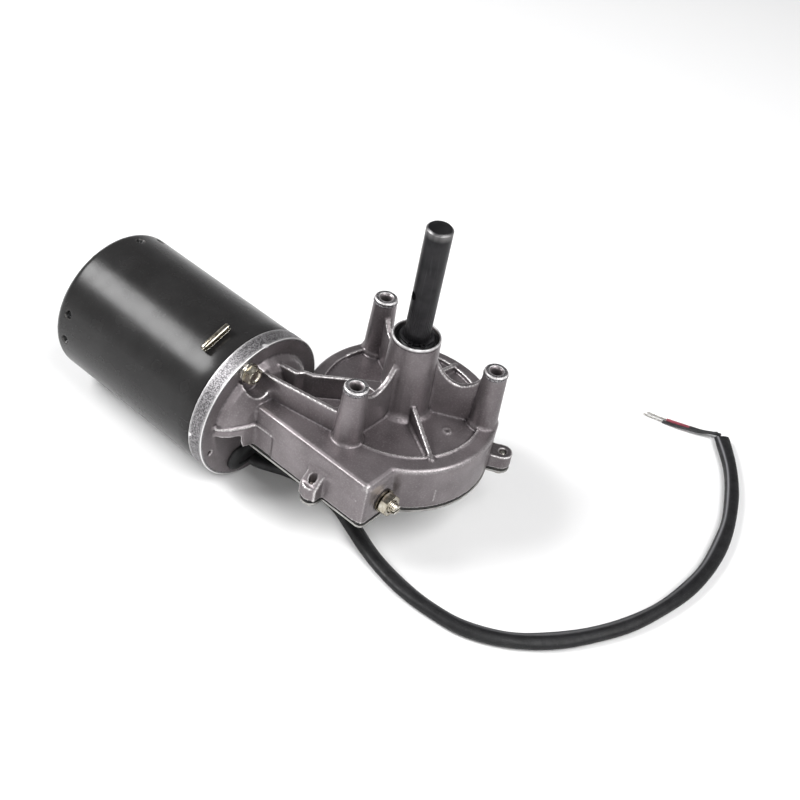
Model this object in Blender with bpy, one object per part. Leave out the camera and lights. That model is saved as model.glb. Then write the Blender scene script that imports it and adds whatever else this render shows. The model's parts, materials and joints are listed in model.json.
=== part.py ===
"""Right-angle worm gearmotor: a permanent-magnet DC motor on a die-cast worm gearbox.

Lengths in this file are millimetres until mesh_object() turns them into metres.
Two working frames are used, both parallel to the world:
  case frame   origin on the output shaft's axis, at the underside of the gearbox cover, +Z along the shaft
  motor frame  origin on the armature's axis, level with the output shaft, +X from the motor to the gearbox
"""

import math

import bmesh
import bpy
from mathutils import Matrix, Vector

MM = 0.001
ASSEMBLY_GAP = 0.3  # left between two pieces that touch

# ---- driving dimensions ---------------------------------------------------------------------------------
SHAFT_R = 6.0  # output shaft
SHAFT_TOP = 124.0
CROSS_HOLE_Z = 88.5
CROSS_HOLE_ANGLE = 240
CIRCLIP_Z = 64.75
BOSS_R = 11.5  # tower around the output shaft
BOSS_TOP = 65.9
CASE_R = 45.6  # outer wall of the gear case, slightly off the shaft's axis
CASE_CENTRE = (1.2, -1.2)
CASE_TOP = 25.9
COVER_T = 1.2
GASKET_T = 0.6
SOLE = COVER_T + GASKET_T + 2 * ASSEMBLY_GAP  # the casting's gasket face

MODULE = 1.5
WHEEL_TEETH = 49
WORM_PITCH_R = 6.75
WHEEL_PITCH_R = MODULE * WHEEL_TEETH / 2
CENTRE_DISTANCE = WORM_PITCH_R + WHEEL_PITCH_R
TOOTH_WIDTH = 2.1  # at the pitch line, on both gears
ADDENDUM = 1.3
DEDENDUM = 1.75
PRESSURE_TAN = math.tan(math.radians(20))
LEAD_TAN = MODULE / (2 * WORM_PITCH_R)
WORM_Z = 11.2  # armature axis above the cover's underside
WHEEL_T = 12.0

CAN_R = 37.4
CAN_WALL = 2.2
CAN_REAR = -152.6
CAN_CUP = 5.0  # bearing cup standing out of the can's rear
FLANGE_R = 37.6
FLANGE_X = (-57.6, -49.4)
BOLT_CIRCLE = 31.5
BOLT_ANGLES = (111.8, 291.8)
DIMPLE_ANGLES = (54, 76, 161, 183, 274, 296)
DIMPLE_X = -144.5

ARMATURE_SLOTS = 12
STACK_X = (-137.0, -89.0)
JOURNAL_R = 4.0  # armature shaft in its bushes and bearing
CORE_R = 5.0  # armature shaft under the stack
COMMUTATOR_X = (-79.0, -66.0)
COMMUTATOR_R = 11.0
COMMUTATOR_BARS = 12
BRUSH_X = -72.5
BRUSH_LENGTH = 10.2
SPRING_WIRE_R = 0.22

POST_PITCH_R = 38.7
POST_ANGLES = (30, 150, 270)
POST_TOP = 56.8
POST_R = 5.6
POST_BASE_R = 6.7
RIB_ANGLES = (-30, 90)
POCKET_R = 38.4
POCKET_FLOOR = 24.4

BOX_FRONT = -56.3  # front wall of the worm housing
BOX_END = 28.3
NECK_TOP = 38.2

LUG_R = 4.8
LUG_TOP = 10.0
LUG_REAR = 49.0
# cover screw positions: angle about the output shaft and distance from it
LUGS = ((30, 51.8), (90, LUG_REAR), (150, 48.6), (270, 59.0), (208, 50.0))
PIN_R = 2.0
PIN_LENGTH = 16.0
PIN_X = -68.2  # where the pin lies on the can
PIN_ANGLE = 110

# The motor stands on the can, and the frame's origin is under the middle of the whole motor.
FLOOR = WORM_Z - FLANGE_R
FAR_LUG_X = LUGS[0][1] * math.cos(math.radians(LUGS[0][0])) + LUG_R
SHAFT_X = -(CAN_REAR - CAN_CUP + FAR_LUG_X) / 2
SHAFT_Y = -(-CENTRE_DISTANCE - FLANGE_R + LUG_REAR + LUG_R) / 2

PORT_PLACE = (-6.0, -25.0)  # centre of the cord's port in the flange, as (y, z) in the motor frame
PORT_HALF = (10.0, 4.4)
CORD_R = 3.6
CORD_FLOOR = FLOOR + CORD_R + 0.2
# The cord's route in the case frame: out of the grommet, down under the gearbox and round in a loose loop.
CORD_ROUTE = (
    (-44.2, -50.0, -14.0),
    (-40.4, -49.0, -14.3),
    (-35.0, -45.4, -15.3),
    (-29.0, -40.8, -16.9),
    (-21.5, -37.4, -18.8),
    (-11.5, -35.4, -21.2),
    (1.5, -35.8, CORD_FLOOR),
    (14.5, -40.0, CORD_FLOOR),
    (26.6, -44.3, CORD_FLOOR),
    (38.6, -47.4, CORD_FLOOR),
    (53.3, -49.5, CORD_FLOOR),
    (69.1, -49.4, CORD_FLOOR),
    (86.4, -46.2, CORD_FLOOR),
    (104.0, -36.4, CORD_FLOOR),
    (118.2, -21.8, CORD_FLOOR),
    (130.0, -3.4, CORD_FLOOR),
    (139.4, 18.6, CORD_FLOOR),
    (145.0, 45.6, CORD_FLOOR),
    (145.2, 73.0, CORD_FLOOR),
    (139.0, 101.6, CORD_FLOOR),
    (129.2, 124.6, CORD_FLOOR),
    (117.6, 143.4, CORD_FLOOR),
    (104.2, 159.0, CORD_FLOOR),
    (101.2, 162.2, CORD_FLOOR),
)
WIRE_R = 0.8
WIRE_TIP = 11.0  # bare end of each wire
WIRE_FLOOR = FLOOR + WIRE_R + 0.2
RED_ROUTE = (
    (99.9, 163.5, -23.2),
    (95.6, 162.2, -24.0),
    (90.0, 158.8, -24.4),
    (80.0, 155.0, -24.8),
    (72.0, 152.4, WIRE_FLOOR),
)
BLACK_ROUTE = (
    (98.2, 161.7, -21.8),
    (94.6, 159.2, -22.6),
    (89.4, 156.4, -24.0),
    (79.6, 152.0, -24.6),
    (71.2, 149.4, WIRE_FLOOR),
)


# ---- building blocks ------------------------------------------------------------------------------------
def clear_scene():
    for obj in list(bpy.data.objects):
        bpy.data.objects.remove(obj, do_unlink=True)


def material(name, colour, roughness, metallic):
    made = bpy.data.materials.new(name)
    made.use_nodes = True
    shader = made.node_tree.nodes["Principled BSDF"]
    shader.inputs["Base Color"].default_value = (*colour, 1.0)
    shader.inputs["Roughness"].default_value = roughness
    shader.inputs["Metallic"].default_value = metallic
    return made


def empty(name, place, parent=None):
    made = bpy.data.objects.new(name, None)
    made.location = Vector(place) * MM
    made.parent = parent
    bpy.context.scene.collection.objects.link(made)
    return made


def mesh_object(name, points, faces, parent, look):
    """A closed mesh from points in millimetres, with its faces turned outwards and round ones smooth."""
    mesh = bpy.data.meshes.new(name)
    mesh.from_pydata([Vector(p) * MM for p in points], [], faces)
    shell = bmesh.new()
    shell.from_mesh(mesh)
    bmesh.ops.recalc_face_normals(shell, faces=shell.faces)
    if shell.calc_volume(signed=True) < 0:
        bmesh.ops.reverse_faces(shell, faces=shell.faces)
    shell.to_mesh(mesh)
    shell.free()
    mesh.shade_smooth()
    mesh.set_sharp_from_angle(angle=math.radians(35))
    if look:
        mesh.materials.append(look)
    made = bpy.data.objects.new(name, mesh)
    made.parent = parent
    bpy.context.scene.collection.objects.link(made)
    return made


def turned_axes(axis):
    """Axial and the two radial directions, right-handed, for a turned or extruded shape."""
    return {
        "X": (Vector((1, 0, 0)), Vector((0, 1, 0)), Vector((0, 0, 1))),
        "Y": (Vector((0, 1, 0)), Vector((0, 0, 1)), Vector((1, 0, 0))),
        "Z": (Vector((0, 0, 1)), Vector((1, 0, 0)), Vector((0, 1, 0))),
    }[axis]


def turned(name, profile, axis, parent, look=None, segments=32, centre=(0, 0, 0)):
    """Spins a closed outline of (along the axis, radius) points. A radius of 0 lies on the axis."""
    along, across, up = turned_axes(axis)
    points, rings = [], []
    for position, radius in profile:
        if radius < 1e-6:
            rings.append([len(points)])
            points.append(Vector(centre) + along * position)
            continue
        rings.append(list(range(len(points), len(points) + segments)))
        for step in range(segments):
            turn = 2 * math.pi * step / segments
            radial = across * math.cos(turn) + up * math.sin(turn)
            points.append(Vector(centre) + along * position + radial * radius)
    faces = []
    for here, there in zip(rings, rings[1:] + rings[:1]):
        for step in range(segments):
            after = (step + 1) % segments
            corners = [here[step % len(here)], here[after % len(here)]]
            corners += [there[after % len(there)], there[step % len(there)]]
            corners = list(dict.fromkeys(corners))
            if len(corners) > 2:
                faces.append(corners)
    return mesh_object(name, points, faces, parent, look)


def rod(name, low, high, radius, axis, parent, look=None, segments=32, centre=(0, 0, 0)):
    profile = [(low, 0), (low, radius), (high, radius), (high, 0)]
    return turned(name, profile, axis, parent, look, segments, centre)


def ring(name, low, high, inner, outer, axis, parent, look=None, segments=32, centre=(0, 0, 0)):
    profile = [(low, inner), (low, outer), (high, outer), (high, inner)]
    return turned(name, profile, axis, parent, look, segments, centre)


def prism(name, outline, low, high, axis, parent, look=None, twist=0.0, turn=0.0):
    """Extrudes a plane outline along an axis. The outline turns by +-twist radians towards its two ends."""
    along, across, up = turned_axes(axis)
    points = []
    for position, angle in ((low, -twist), (high, twist)):
        cosine, sine = math.cos(angle + turn), math.sin(angle + turn)
        for a, b in outline:
            flat = across * (a * cosine - b * sine) + up * (a * sine + b * cosine)
            points.append(along * position + flat)
    count = len(outline)
    faces = [list(range(count))[::-1], list(range(count, 2 * count))]
    for step in range(count):
        after = (step + 1) % count
        faces.append([step, after, count + after, count + step])
    return mesh_object(name, points, faces, parent, look)


def box(name, low, high, parent, look=None, bevel=0.0):
    corners = [(low[0], low[1]), (high[0], low[1]), (high[0], high[1]), (low[0], high[1])]
    made = prism(name, corners, low[2], high[2], "Z", parent, look)
    if bevel:
        rounding = made.modifiers.new("rounded edges", "BEVEL")
        rounding.width = bevel * MM
        rounding.segments = 2
    return made


def arc(centre, radius, start, end, steps):
    """Points on an arc, with the angles in degrees and both ends included."""
    angles = [math.radians(start + (end - start) * i / steps) for i in range(steps + 1)]
    return [(centre[0] + radius * math.cos(a), centre[1] + radius * math.sin(a)) for a in angles]


def polar(radius, degrees):
    return radius * math.cos(math.radians(degrees)), radius * math.sin(math.radians(degrees))


def shape_with(made, operation, tools):
    """Adds one Boolean with all the tools, which stay in the file as hidden wire guides."""
    group = bpy.data.collections.new(f"{made.name}_{operation.lower()}")
    bpy.context.scene.collection.children.link(group)
    for tool in tools:
        bpy.context.scene.collection.objects.unlink(tool)
        group.objects.link(tool)
        tool.hide_render = True
        tool.display_type = "WIRE"
    step = made.modifiers.new(group.name, "BOOLEAN")
    step.operation = operation
    step.solver = "EXACT"
    step.operand_type = "COLLECTION"
    step.collection = group
    # Points that the cut leaves almost on top of each other are joined before the next one.
    weld = made.modifiers.new(f"{group.name}_weld", "WELD")
    weld.merge_threshold = 0.002 * MM
    return made


def merge_flat_faces(made):
    """Joins the flat pieces that the Booleans cut a plane face into."""
    step = made.modifiers.new("flat faces", "DECIMATE")
    step.decimate_type = "DISSOLVE"
    step.angle_limit = math.radians(0.2)
    return made


# ---- gear case casting ----------------------------------------------------------------------------------
def rounded_wall(name, case):
    """Outer wall of the gear case with its rounded top edge."""
    edge = [(CASE_TOP - 2 + a, CASE_R - 2 + b) for b, a in arc((0, 0), 2, 0, 90, 3)]
    profile = [(SOLE, 0), (SOLE, CASE_R), *edge, (CASE_TOP, 0)]
    return turned(name, profile, "Z", case, segments=60, centre=(*CASE_CENTRE, 0))


def lug_solids(prefix, low, high, case, reach=0.0):
    """The round ears for the cover screws, each with a bridge back to the wall."""
    made = []
    for number, (degrees, distance) in enumerate(LUGS, 1):
        x, y = polar(distance, degrees)
        made.append(rod(f"{prefix}_ear_{number}", low, high, LUG_R + reach, "Z", case, None, 16, (x, y, 0)))
        half = LUG_R + reach
        web = [(distance - 12, -half), (distance, -half), (distance, half), (distance - 12, half)]
        made.append(prism(f"{prefix}_bridge_{number}", web, low, high, "Z", case, turn=math.radians(degrees)))
    return made


def post_solids(case):
    """Three fixing posts, the webs that tie them to the boss, and the ribs between the posts."""
    made = []
    for number, degrees in enumerate(POST_ANGLES, 1):
        x, y = polar(POST_PITCH_R, degrees)
        base = POCKET_FLOOR - 3
        foot = POST_BASE_R + 0.9
        profile = [(base, 0), (base, foot), (POCKET_FLOOR + 1.6, foot), (POCKET_FLOOR + 3, POST_BASE_R)]
        profile += [(POST_TOP - 0.5, POST_R), (POST_TOP, POST_R - 0.5), (POST_TOP, 0)]
        made.append(turned(f"post_{number}", profile, "Z", case, None, 20, (x, y, 0)))
        made.append(radial_plate(f"post_web_{number}", degrees, 1.3, web_outline(), case))
    for number, degrees in enumerate(RIB_ANGLES, 1):
        outline = [(5, POCKET_FLOOR - 2), (41, POCKET_FLOOR - 2), (41, CASE_TOP + 0.5), (13, 33.0), (5, 33.0)]
        made.append(radial_plate(f"rib_{number}", degrees, 1.1, outline, case))
    return made


def web_outline():
    """Web from the boss to a post, with a hollow upper edge."""
    low, rim = 43.6, 24.0
    edge = [(r, low + 0.068 * (r - rim) ** 2) for r in (12, 15, 18, 21, 24, 27, 30, 33.5)]
    return [(9, POCKET_FLOOR - 2), (36, POCKET_FLOOR - 2), (36, edge[-1][1]), *edge[::-1], (9, edge[0][1])]


def radial_plate(name, degrees, half, outline, case):
    """A plate in the plane through the output axis at this angle. The outline is (radius, height)."""
    made = prism(name, [(height, radius) for radius, height in outline], -half, half, "Y", case)
    made.rotation_euler[2] = math.radians(degrees)
    return made


def boss_solid(case):
    profile = [(POCKET_FLOOR - 2, 0), (POCKET_FLOOR - 2, BOSS_R + 3), (POCKET_FLOOR + 0.6, BOSS_R + 3)]
    profile += [(POCKET_FLOOR + 1.4, BOSS_R + 1.6), (POCKET_FLOOR + 3.5, BOSS_R + 0.8)]
    profile += [(BOSS_TOP - 0.7, BOSS_R), (BOSS_TOP, BOSS_R - 0.6), (BOSS_TOP, 0)]
    return turned("boss", profile, "Z", case, segments=36)


def neck_solid(case):
    """Raised block between the flange, the boss and the front post, before neck_hollow() is cut from it."""
    outline = [(-5, -7.5), (-30.4, -29.9), (-34.4, -31.4), (-36.8, -34.6), (-52, -37.0)]
    outline += [(-52, -49.9), (-5.5, -41.3), (2, -34)]
    return prism("neck", outline, CASE_TOP - 8, NECK_TOP, "Z", case)


def neck_hollow(case):
    outline = [(-14.3, -17.8), (-29.6, -32.0), (-33.4, -33.2), (-36.0, -37.0), (-46.0, -38.6)]
    outline += [(-46.0, -46.4), (-8.6, -39.4), (-8.0, -34.0), (-2.6, -30.0), (-2.6, -17.5)]
    return prism("neck_hollow", outline, CASE_TOP - 0.6, NECK_TOP + 4, "Z", case)


def front_lug_slope(case):
    """Sloping top that runs from the front lug up to the worm housing's wall."""
    outline = [(-50, SOLE), (-50, 17.5), (-56, 17.0), (-62.5, LUG_TOP - 1), (-62.5, SOLE)]
    return prism("front_lug_slope", outline, -LUG_R, LUG_R, "X", case)


def worm_housing_solids(case, motor):
    low, top = SOLE - 6, CASE_TOP
    body = box("worm_housing", (-42, BOX_FRONT, low), (BOX_END, -28, top), case, bevel=2.6)
    skirt = box("worm_housing_skirt", (-28, BOX_FRONT - 0.5, low), (24, -50, 15.8), case, bevel=0.4)
    pad = rod("screw_pad", BOX_END - 3, BOX_END + 0.3, 7.4, "X", motor)
    return [body, skirt, pad]


def flange_solids(motor):
    """The motor's end flange: plate, spigot that centres the can, and bearing hub."""
    rear, front = FLANGE_X
    plate = [(rear, 0), (rear, FLANGE_R), (front - 0.6, FLANGE_R), (front, FLANGE_R - 0.6), (front, 0)]
    made = [turned("flange", plate, "X", motor, segments=60)]
    made.append(ring("spigot", rear - 2.5, rear + 1, 31.5, CAN_R - CAN_WALL - 0.2, "X", motor, segments=48))
    made.append(rod("bearing_hub", rear - 2.9, front - 1, 14.0, "X", motor, segments=28))
    return made


def bell_solid(motor):
    """Domed shoulder that runs from the flange into the worm housing."""
    profile = [(-52, 0), (-52, 29.4), (-48.4, 29.2), (-46.0, 27.8), (-43.4, 24.6), (-40.8, 19.0)]
    profile += [(-39.0, 13.0), (-38.6, 0)]
    return turned("bell", profile, "X", motor, segments=36)


def gear_case(case, motor, look):
    """The one-piece casting: gear case, worm housing, flange, boss, posts, ribs and lugs."""
    made = rounded_wall("gear_housing", case)
    made.data.materials.append(look)
    shape_with(made, "UNION", worm_housing_solids(case, motor) + lug_solids("case", SOLE, LUG_TOP, case))
    shape_with(made, "DIFFERENCE", [rod("pocket", POCKET_FLOOR, CASE_TOP + 4, POCKET_R, "Z", case, None, 48)])
    shape_with(made, "UNION", [neck_solid(case)])
    shape_with(made, "DIFFERENCE", [neck_hollow(case)])
    raised = post_solids(case) + [boss_solid(case), front_lug_slope(case), bell_solid(motor)]
    shape_with(made, "UNION", raised + flange_solids(motor))
    shape_with(made, "DIFFERENCE", case_cutters(case, motor))
    return merge_flat_faces(made)


def case_cutters(case, motor):
    made = []
    # The flat gasket face, everywhere in front of the flange.
    made.append(box("below_sole", (FLANGE_X[1] + 0.3, -75, -20), (75, 60, SOLE), case))
    made.append(box("under_bell", (FLANGE_X[1] + 0.2, -100, -45), (-41.4, -34.6, WORM_Z - 0.7), case))
    # Gear chamber, worm chamber and the bores in line with them.
    made.append(rod("gear_chamber", SOLE - 2, 22.4, 40.0, "Z", case, segments=40))
    made.append(box("worm_chamber", (-24, -52.6, SOLE - 3), (15, -22, 20.4), case))
    made.append(rod("worm_bore", FLANGE_X[0] - 5, -19, 9.0, "X", motor, segments=24))
    made.append(rod("bearing_seat", FLANGE_X[0] - 5.5, -52.6, 11.1, "X", motor, segments=32))
    made.append(rod("tail_bush_seat", 11, 21.5, 6.1, "X", motor, segments=24))
    made.append(rod("adjusting_thread", 19, 31, 3.1, "X", motor, segments=20))
    made.append(rod("boss_bore", 18, BOSS_TOP + 1, 7.0, "Z", case, segments=24))
    made.append(rod("bush_seat", 19, 57.5, 9.1, "Z", case, segments=28))
    made.append(rod("seal_seat", 58.0, BOSS_TOP + 1.5, 10.4, "Z", case, segments=32))
    recess = (FLANGE_X[0] - 6, FLANGE_X[0] + 3.6, 14.6, 31.0)
    made.append(ring("flange_recess", *recess, "X", motor, segments=36))
    for number, degrees in enumerate(POST_ANGLES, 1):
        x, y = polar(POST_PITCH_R, degrees)
        thread = [(POST_TOP - 20, 0), (POST_TOP - 20, 2.5), (POST_TOP - 0.95, 2.5), (POST_TOP, 3.45)]
        thread += [(POST_TOP + 1, 3.45), (POST_TOP + 1, 0)]
        made.append(turned(f"post_thread_{number}", thread, "Z", case, None, 16, (x, y, 0)))
    for number, degrees in enumerate(BOLT_ANGLES, 1):
        y, z = polar(BOLT_CIRCLE, degrees)
        made.append(rod(f"bolt_hole_{number}", -62, -40, 2.75, "X", motor, None, 16, (0, y, z)))
        seat, relief = FLANGE_X[1] - 0.4, FLANGE_X[1] + 0.6
        made.append(rod(f"bolt_seat_{number}", seat, -36, 6.3, "X", motor, None, 20, (0, y, z)))
        y, z = polar(BOLT_CIRCLE - 6.5, degrees)
        made.append(rod(f"bolt_relief_{number}", relief, -36, 6.0, "X", motor, None, 20, (0, y, z)))
    for number, (degrees, distance) in enumerate(LUGS, 1):
        x, y = polar(distance, degrees)
        made.append(rod(f"lug_hole_{number}", SOLE - 2, LUG_TOP + 12, 1.9, "Z", case, None, 12, (x, y, 0)))
    face = FLANGE_X[1]
    made.append(rod("flange_hole", face - 4, face + 1, 1.3, "X", motor, None, 12, (0, -31.0, -10.7)))
    made.append(slot("cord_port", FLANGE_X[0] - 4, FLANGE_X[1] + 8, 0.0, motor))
    return made


def slot(name, low, high, grow, motor, look=None):
    """A slot with round ends, shaped like the cord's port in the flange."""
    half_width, half_height = PORT_HALF[0] + grow, PORT_HALF[1] + grow
    y, z = PORT_PLACE
    reach = half_width - half_height
    outline = arc((y + reach, z), half_height, -90, 90, 8) + arc((y - reach, z), half_height, 90, 270, 8)
    return prism(name, outline, low, high, "X", motor, look)


# ---- cover, gasket and their screws ---------------------------------------------------------------------
def sole_plate(name, low, high, case, look, inset):
    """A flat plate with the case's outline, lugs included."""
    made = rod(name, low, high, CASE_R - inset, "Z", case, look, 60, (*CASE_CENTRE, 0))
    front = [(-42 + inset, BOX_FRONT + inset), (BOX_END - 3 - inset, BOX_FRONT + inset)]
    front += arc((BOX_END - 3 - inset, BOX_FRONT + 3 + inset), 3, -80, 0, 3)
    front += [(BOX_END - inset, -20), (-42 + inset, -20)]
    tools = [prism(f"{name}_worm_part", front, low, high, "Z", case)]
    shape_with(made, "UNION", tools + lug_solids(name, low, high, case, -inset))
    return made


def cover(case, look):
    made = sole_plate("gear_cover", 0, COVER_T, case, look, 0.0)
    cup = rod("bush_cup", -2.2, COVER_T / 2, 10.2, "Z", case)
    shape_with(made, "UNION", [cup])
    cuts = [rod("cup_hollow", -1.0, COVER_T + 1, 9.0, "Z", case)]
    shape_with(made, "DIFFERENCE", cuts + cover_holes("cover", case))
    return merge_flat_faces(made)


def cover_holes(prefix, case):
    places = [polar(distance, degrees) for degrees, distance in LUGS]
    return [
        rod(f"{prefix}_hole_{number}", -3, SOLE, 2.1, "Z", case, None, 12, (x, y, 0))
        for number, (x, y) in enumerate(places, 1)
    ]


def gasket(case, look):
    low = COVER_T + ASSEMBLY_GAP
    made = sole_plate("cover_gasket", low, low + GASKET_T, case, look, 0.4)
    opening = [rod("gasket_opening", low - 1, low + 2, 41.0, "Z", case, segments=40)]
    opening.append(box("gasket_worm_opening", (-24, -51.6, low - 1), (16, -20, low + 2), case))
    shape_with(made, "DIFFERENCE", opening + cover_holes("gasket", case))
    return merge_flat_faces(made)


def cover_screws(case, look):
    """Pan-head screws that come up through the cover into the lugs."""
    for number, (degrees, distance) in enumerate(LUGS, 1):
        x, y = polar(distance, degrees)
        head, tip = -ASSEMBLY_GAP, LUG_TOP - 0.8
        profile = [(head - 2.2, 0), (head - 2.2, 2.6), (head - 1.4, 3.5), (head, 3.7), (head, 1.6)]
        profile += [(tip - 0.6, 1.6), (tip, 1.0), (tip, 0)]
        made = turned(f"cover_screw_{number}", profile, "Z", case, look, 12, (x, y, 0))
        slot_cut = box(f"cover_screw_slot_{number}", (-4, -0.45, head - 3), (4, 0.45, head - 1.3), case)
        slot_cut.location = Vector((x, y, 0)) * MM
        shape_with(made, "DIFFERENCE", [slot_cut])


# ---- motor ----------------------------------------------------------------------------------------------
def can(motor, look):
    """Deep-drawn steel can with a bearing cup at its closed end and staking dimples near that end."""
    rear, front, wall = CAN_REAR, FLANGE_X[0] - ASSEMBLY_GAP, CAN_WALL
    cup = rear - CAN_CUP
    outer = [(front, CAN_R), *[(rear + 4 - b, CAN_R - 4 + a) for a, b in arc((0, 0), 4, 0, 90, 4)]]
    outer += [(rear, 12.5), (cup + 1, 11.0), (cup, 10.0), (cup, 0)]
    inner = [(cup + 1.7, 0), (cup + 1.7, 8.3), (rear + wall, 8.3), (rear + wall, CAN_R - wall - 2)]
    inner += [(rear + wall + 2, CAN_R - wall), (front, CAN_R - wall)]
    made = turned("motor_can", outer + inner, "X", motor, look, 60)
    tools = []
    for number, degrees in enumerate(DIMPLE_ANGLES, 1):
        tool = rod(f"dimple_{number}", CAN_R - 1.2, CAN_R + 2, 2.0, "Y", motor, None, 8)
        tool.rotation_euler[0] = math.radians(degrees)
        tool.location[0] = DIMPLE_X * MM
        tools.append(tool)
    for number, degrees in enumerate(BOLT_ANGLES, 1):
        y, z = polar(BOLT_CIRCLE, degrees)
        tools.append(rod(f"can_bolt_hole_{number}", rear - 4, rear + 6, 2.7, "X", motor, None, 12, (0, y, z)))
    return merge_flat_faces(shape_with(made, "DIFFERENCE", tools))


def magnets(motor, look):
    """Two ferrite arcs, clear of the through-bolts that pass between them."""
    outer, inner, half = CAN_R - CAN_WALL - 0.4, 28.3, 62
    for number, middle in enumerate((BOLT_ANGLES[0] - 90, BOLT_ANGLES[0] + 90), 1):
        outline = arc((0, 0), outer, middle - half, middle + half, 18)
        outline += arc((0, 0), inner, middle + half, middle - half, 18)
        prism(f"magnet_{number}", outline, -140, -84, "X", motor, look)


def hexagon(across_flats, turn=0):
    return [polar(across_flats / math.sqrt(3), turn + 60 * i) for i in range(6)]


def through_bolts(motor, zinc):
    """Long bolts that clamp the can to the flange, each with a lock washer under its head."""
    seat = FLANGE_X[1] - 0.4
    for number, degrees in enumerate(BOLT_ANGLES, 1):
        y, z = polar(BOLT_CIRCLE, degrees)
        washer = seat + ASSEMBLY_GAP
        ring(f"lock_washer_{number}", washer, washer + 1.2, 2.7, 4.6, "X", motor, zinc, 16, (0, y, z))
        head = washer + 1.2 + ASSEMBLY_GAP
        profile = [(CAN_REAR - 1.5, 0), (CAN_REAR - 1.5, 1.9), (CAN_REAR - 0.8, 2.4), (head, 2.4)]
        profile += [(head, 4.9), (head + 0.9, 4.9), (head + 0.9, 3.0), (head + 1.0, 0)]
        made = turned(f"through_bolt_{number}", profile, "X", motor, zinc, 16, (0, y, z))
        cap = prism(f"bolt_hex_{number}", hexagon(8.0, 20), head + 0.5, head + 4.6, "X", motor)
        cap.location = Vector((0, y, z)) * MM
        shape_with(made, "UNION", [cap])
        dish = rod(f"bolt_dish_{number}", head + 3.9, head + 6, 2.4, "X", motor, None, 16, (0, y, z))
        shape_with(made, "DIFFERENCE", [dish])


def brush_gear(motor, board, brass, carbon, steel):
    """Brush plate on the flange side of the commutator, with a holder, brush and spring on each side."""
    plate = ring("brush_plate", -64.4, -62.4, 15.0, 33.6, "X", motor, board, 36)
    holes = []
    for number, degrees in enumerate(BOLT_ANGLES, 1):
        y, z = polar(BOLT_CIRCLE, degrees)
        holes.append(rod(f"brush_plate_hole_{number}", -66, -60, 3.4, "X", motor, None, 16, (0, y, z)))
    shape_with(plate, "DIFFERENCE", holes)
    for number, side in enumerate((1, -1), 1):
        rest = COMMUTATOR_R + ASSEMBLY_GAP
        brush_side = empty(f"brush_axis_{number}", (BRUSH_X, 0, 0), motor)
        brush_side.rotation_euler[0] = math.radians(0 if side > 0 else 180)
        holder = box(f"brush_holder_{number}", (-5, -3.6, 13), (7.8, 3.6, 27), brush_side, brass)
        hollow = box(f"brush_channel_{number}", (-3.2, -2.6, 12), (3.2, 2.6, 26.2), brush_side)
        shape_with(holder, "DIFFERENCE", [hollow])
        box(f"carbon_brush_{number}", (-2.9, -2.3, rest), (2.9, 2.3, rest + BRUSH_LENGTH), brush_side, carbon)
        low = rest + BRUSH_LENGTH + ASSEMBLY_GAP + SPRING_WIRE_R
        helix = [(*polar(1.7, 60 * step), low + 3.6 * step / 24) for step in range(25)]
        tube(f"brush_spring_{number}", helix, SPRING_WIRE_R, 0.8, brush_side, steel, 1)


def bearings(motor, case, steel, bronze):
    seat = -52.6
    # The outer ring with a shield turned in at each side.
    race = [(-59.9, 11.0), (seat - 0.3, 11.0), (seat - 0.3, 6.4), (seat - 0.9, 6.4)]
    race += [(seat - 0.9, 9.2), (-59.3, 9.2), (-59.3, 6.4), (-59.9, 6.4)]
    turned("front_bearing_outer_race", race, "X", motor, steel, 28)
    ring("rear_bush", CAN_REAR - CAN_CUP + 2.2, CAN_REAR + 1.6, 4.06, 8.0, "X", motor, bronze, 20)
    ring("tail_bush", 15.4, 21.2, 4.06, 5.9, "X", motor, bronze, 20)
    ring("output_bush_upper", 27.0, 57.0, SHAFT_R + 0.06, 8.9, "Z", case, bronze, 28)
    ring("output_bush_lower", -0.7, 4.4, 5.06, 8.7, "Z", case, bronze, 28)


def end_play_screw(motor, zinc, steel):
    """The screw, nut and washer that set the armature's end play through a ball."""
    turned("thrust_ball", arc((23.0, 0), 1.7, 180, 0, 8), "X", motor, steel, 16)
    washer = BOX_END + 0.3 + ASSEMBLY_GAP
    ring("adjusting_washer", washer, washer + 1.0, 3.3, 5.8, "X", motor, zinc, 24)
    nut_low = washer + 1.0 + ASSEMBLY_GAP
    nut = prism("adjusting_nut", hexagon(10.0, 12), nut_low, nut_low + 4.2, "X", motor, zinc)
    shape_with(nut, "DIFFERENCE", [rod("nut_thread", nut_low - 2, nut_low + 6, 3.1, "X", motor, segments=24)])
    shank = [(25.1, 0), (25.1, 2.8), (36.6, 2.8), (37.3, 2.2), (37.3, 0)]
    screw = turned("adjusting_screw", shank, "X", motor, zinc, 24)
    shape_with(screw, "DIFFERENCE", [box("screwdriver_slot", (35.8, -3.5, -0.5), (38, 3.5, 0.5), motor)])


def armature(axis, steel, iron, copper):
    """Everything that turns with the motor's shaft, the worm included."""
    rear, root, seat_r = CAN_REAR - CAN_CUP + 2.2, WORM_PITCH_R - DEDENDUM, JOURNAL_R - 0.03
    profile = [(rear, 0), (rear, JOURNAL_R), (-145, JOURNAL_R), (-145, CORE_R), (-61, CORE_R), (-61, seat_r)]
    profile += [(-51.5, seat_r), (-50.5, root), (14.2, root), (14.2, JOURNAL_R), (20.6, JOURNAL_R)]
    profile += [(21.1, JOURNAL_R - 0.6), (21.1, 0)]
    shaft = turned("armature_shaft", profile, "X", axis, steel, 20)
    shape_with(shaft, "UNION", [worm_thread(axis)])
    lamination_stack(axis, iron)
    winding(axis, copper)
    commutator_drum(axis, copper)
    ring("front_bearing_inner_race", -59.8, -53.0, JOURNAL_R + 0.02, 6.0, "X", axis, steel, 20)


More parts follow.
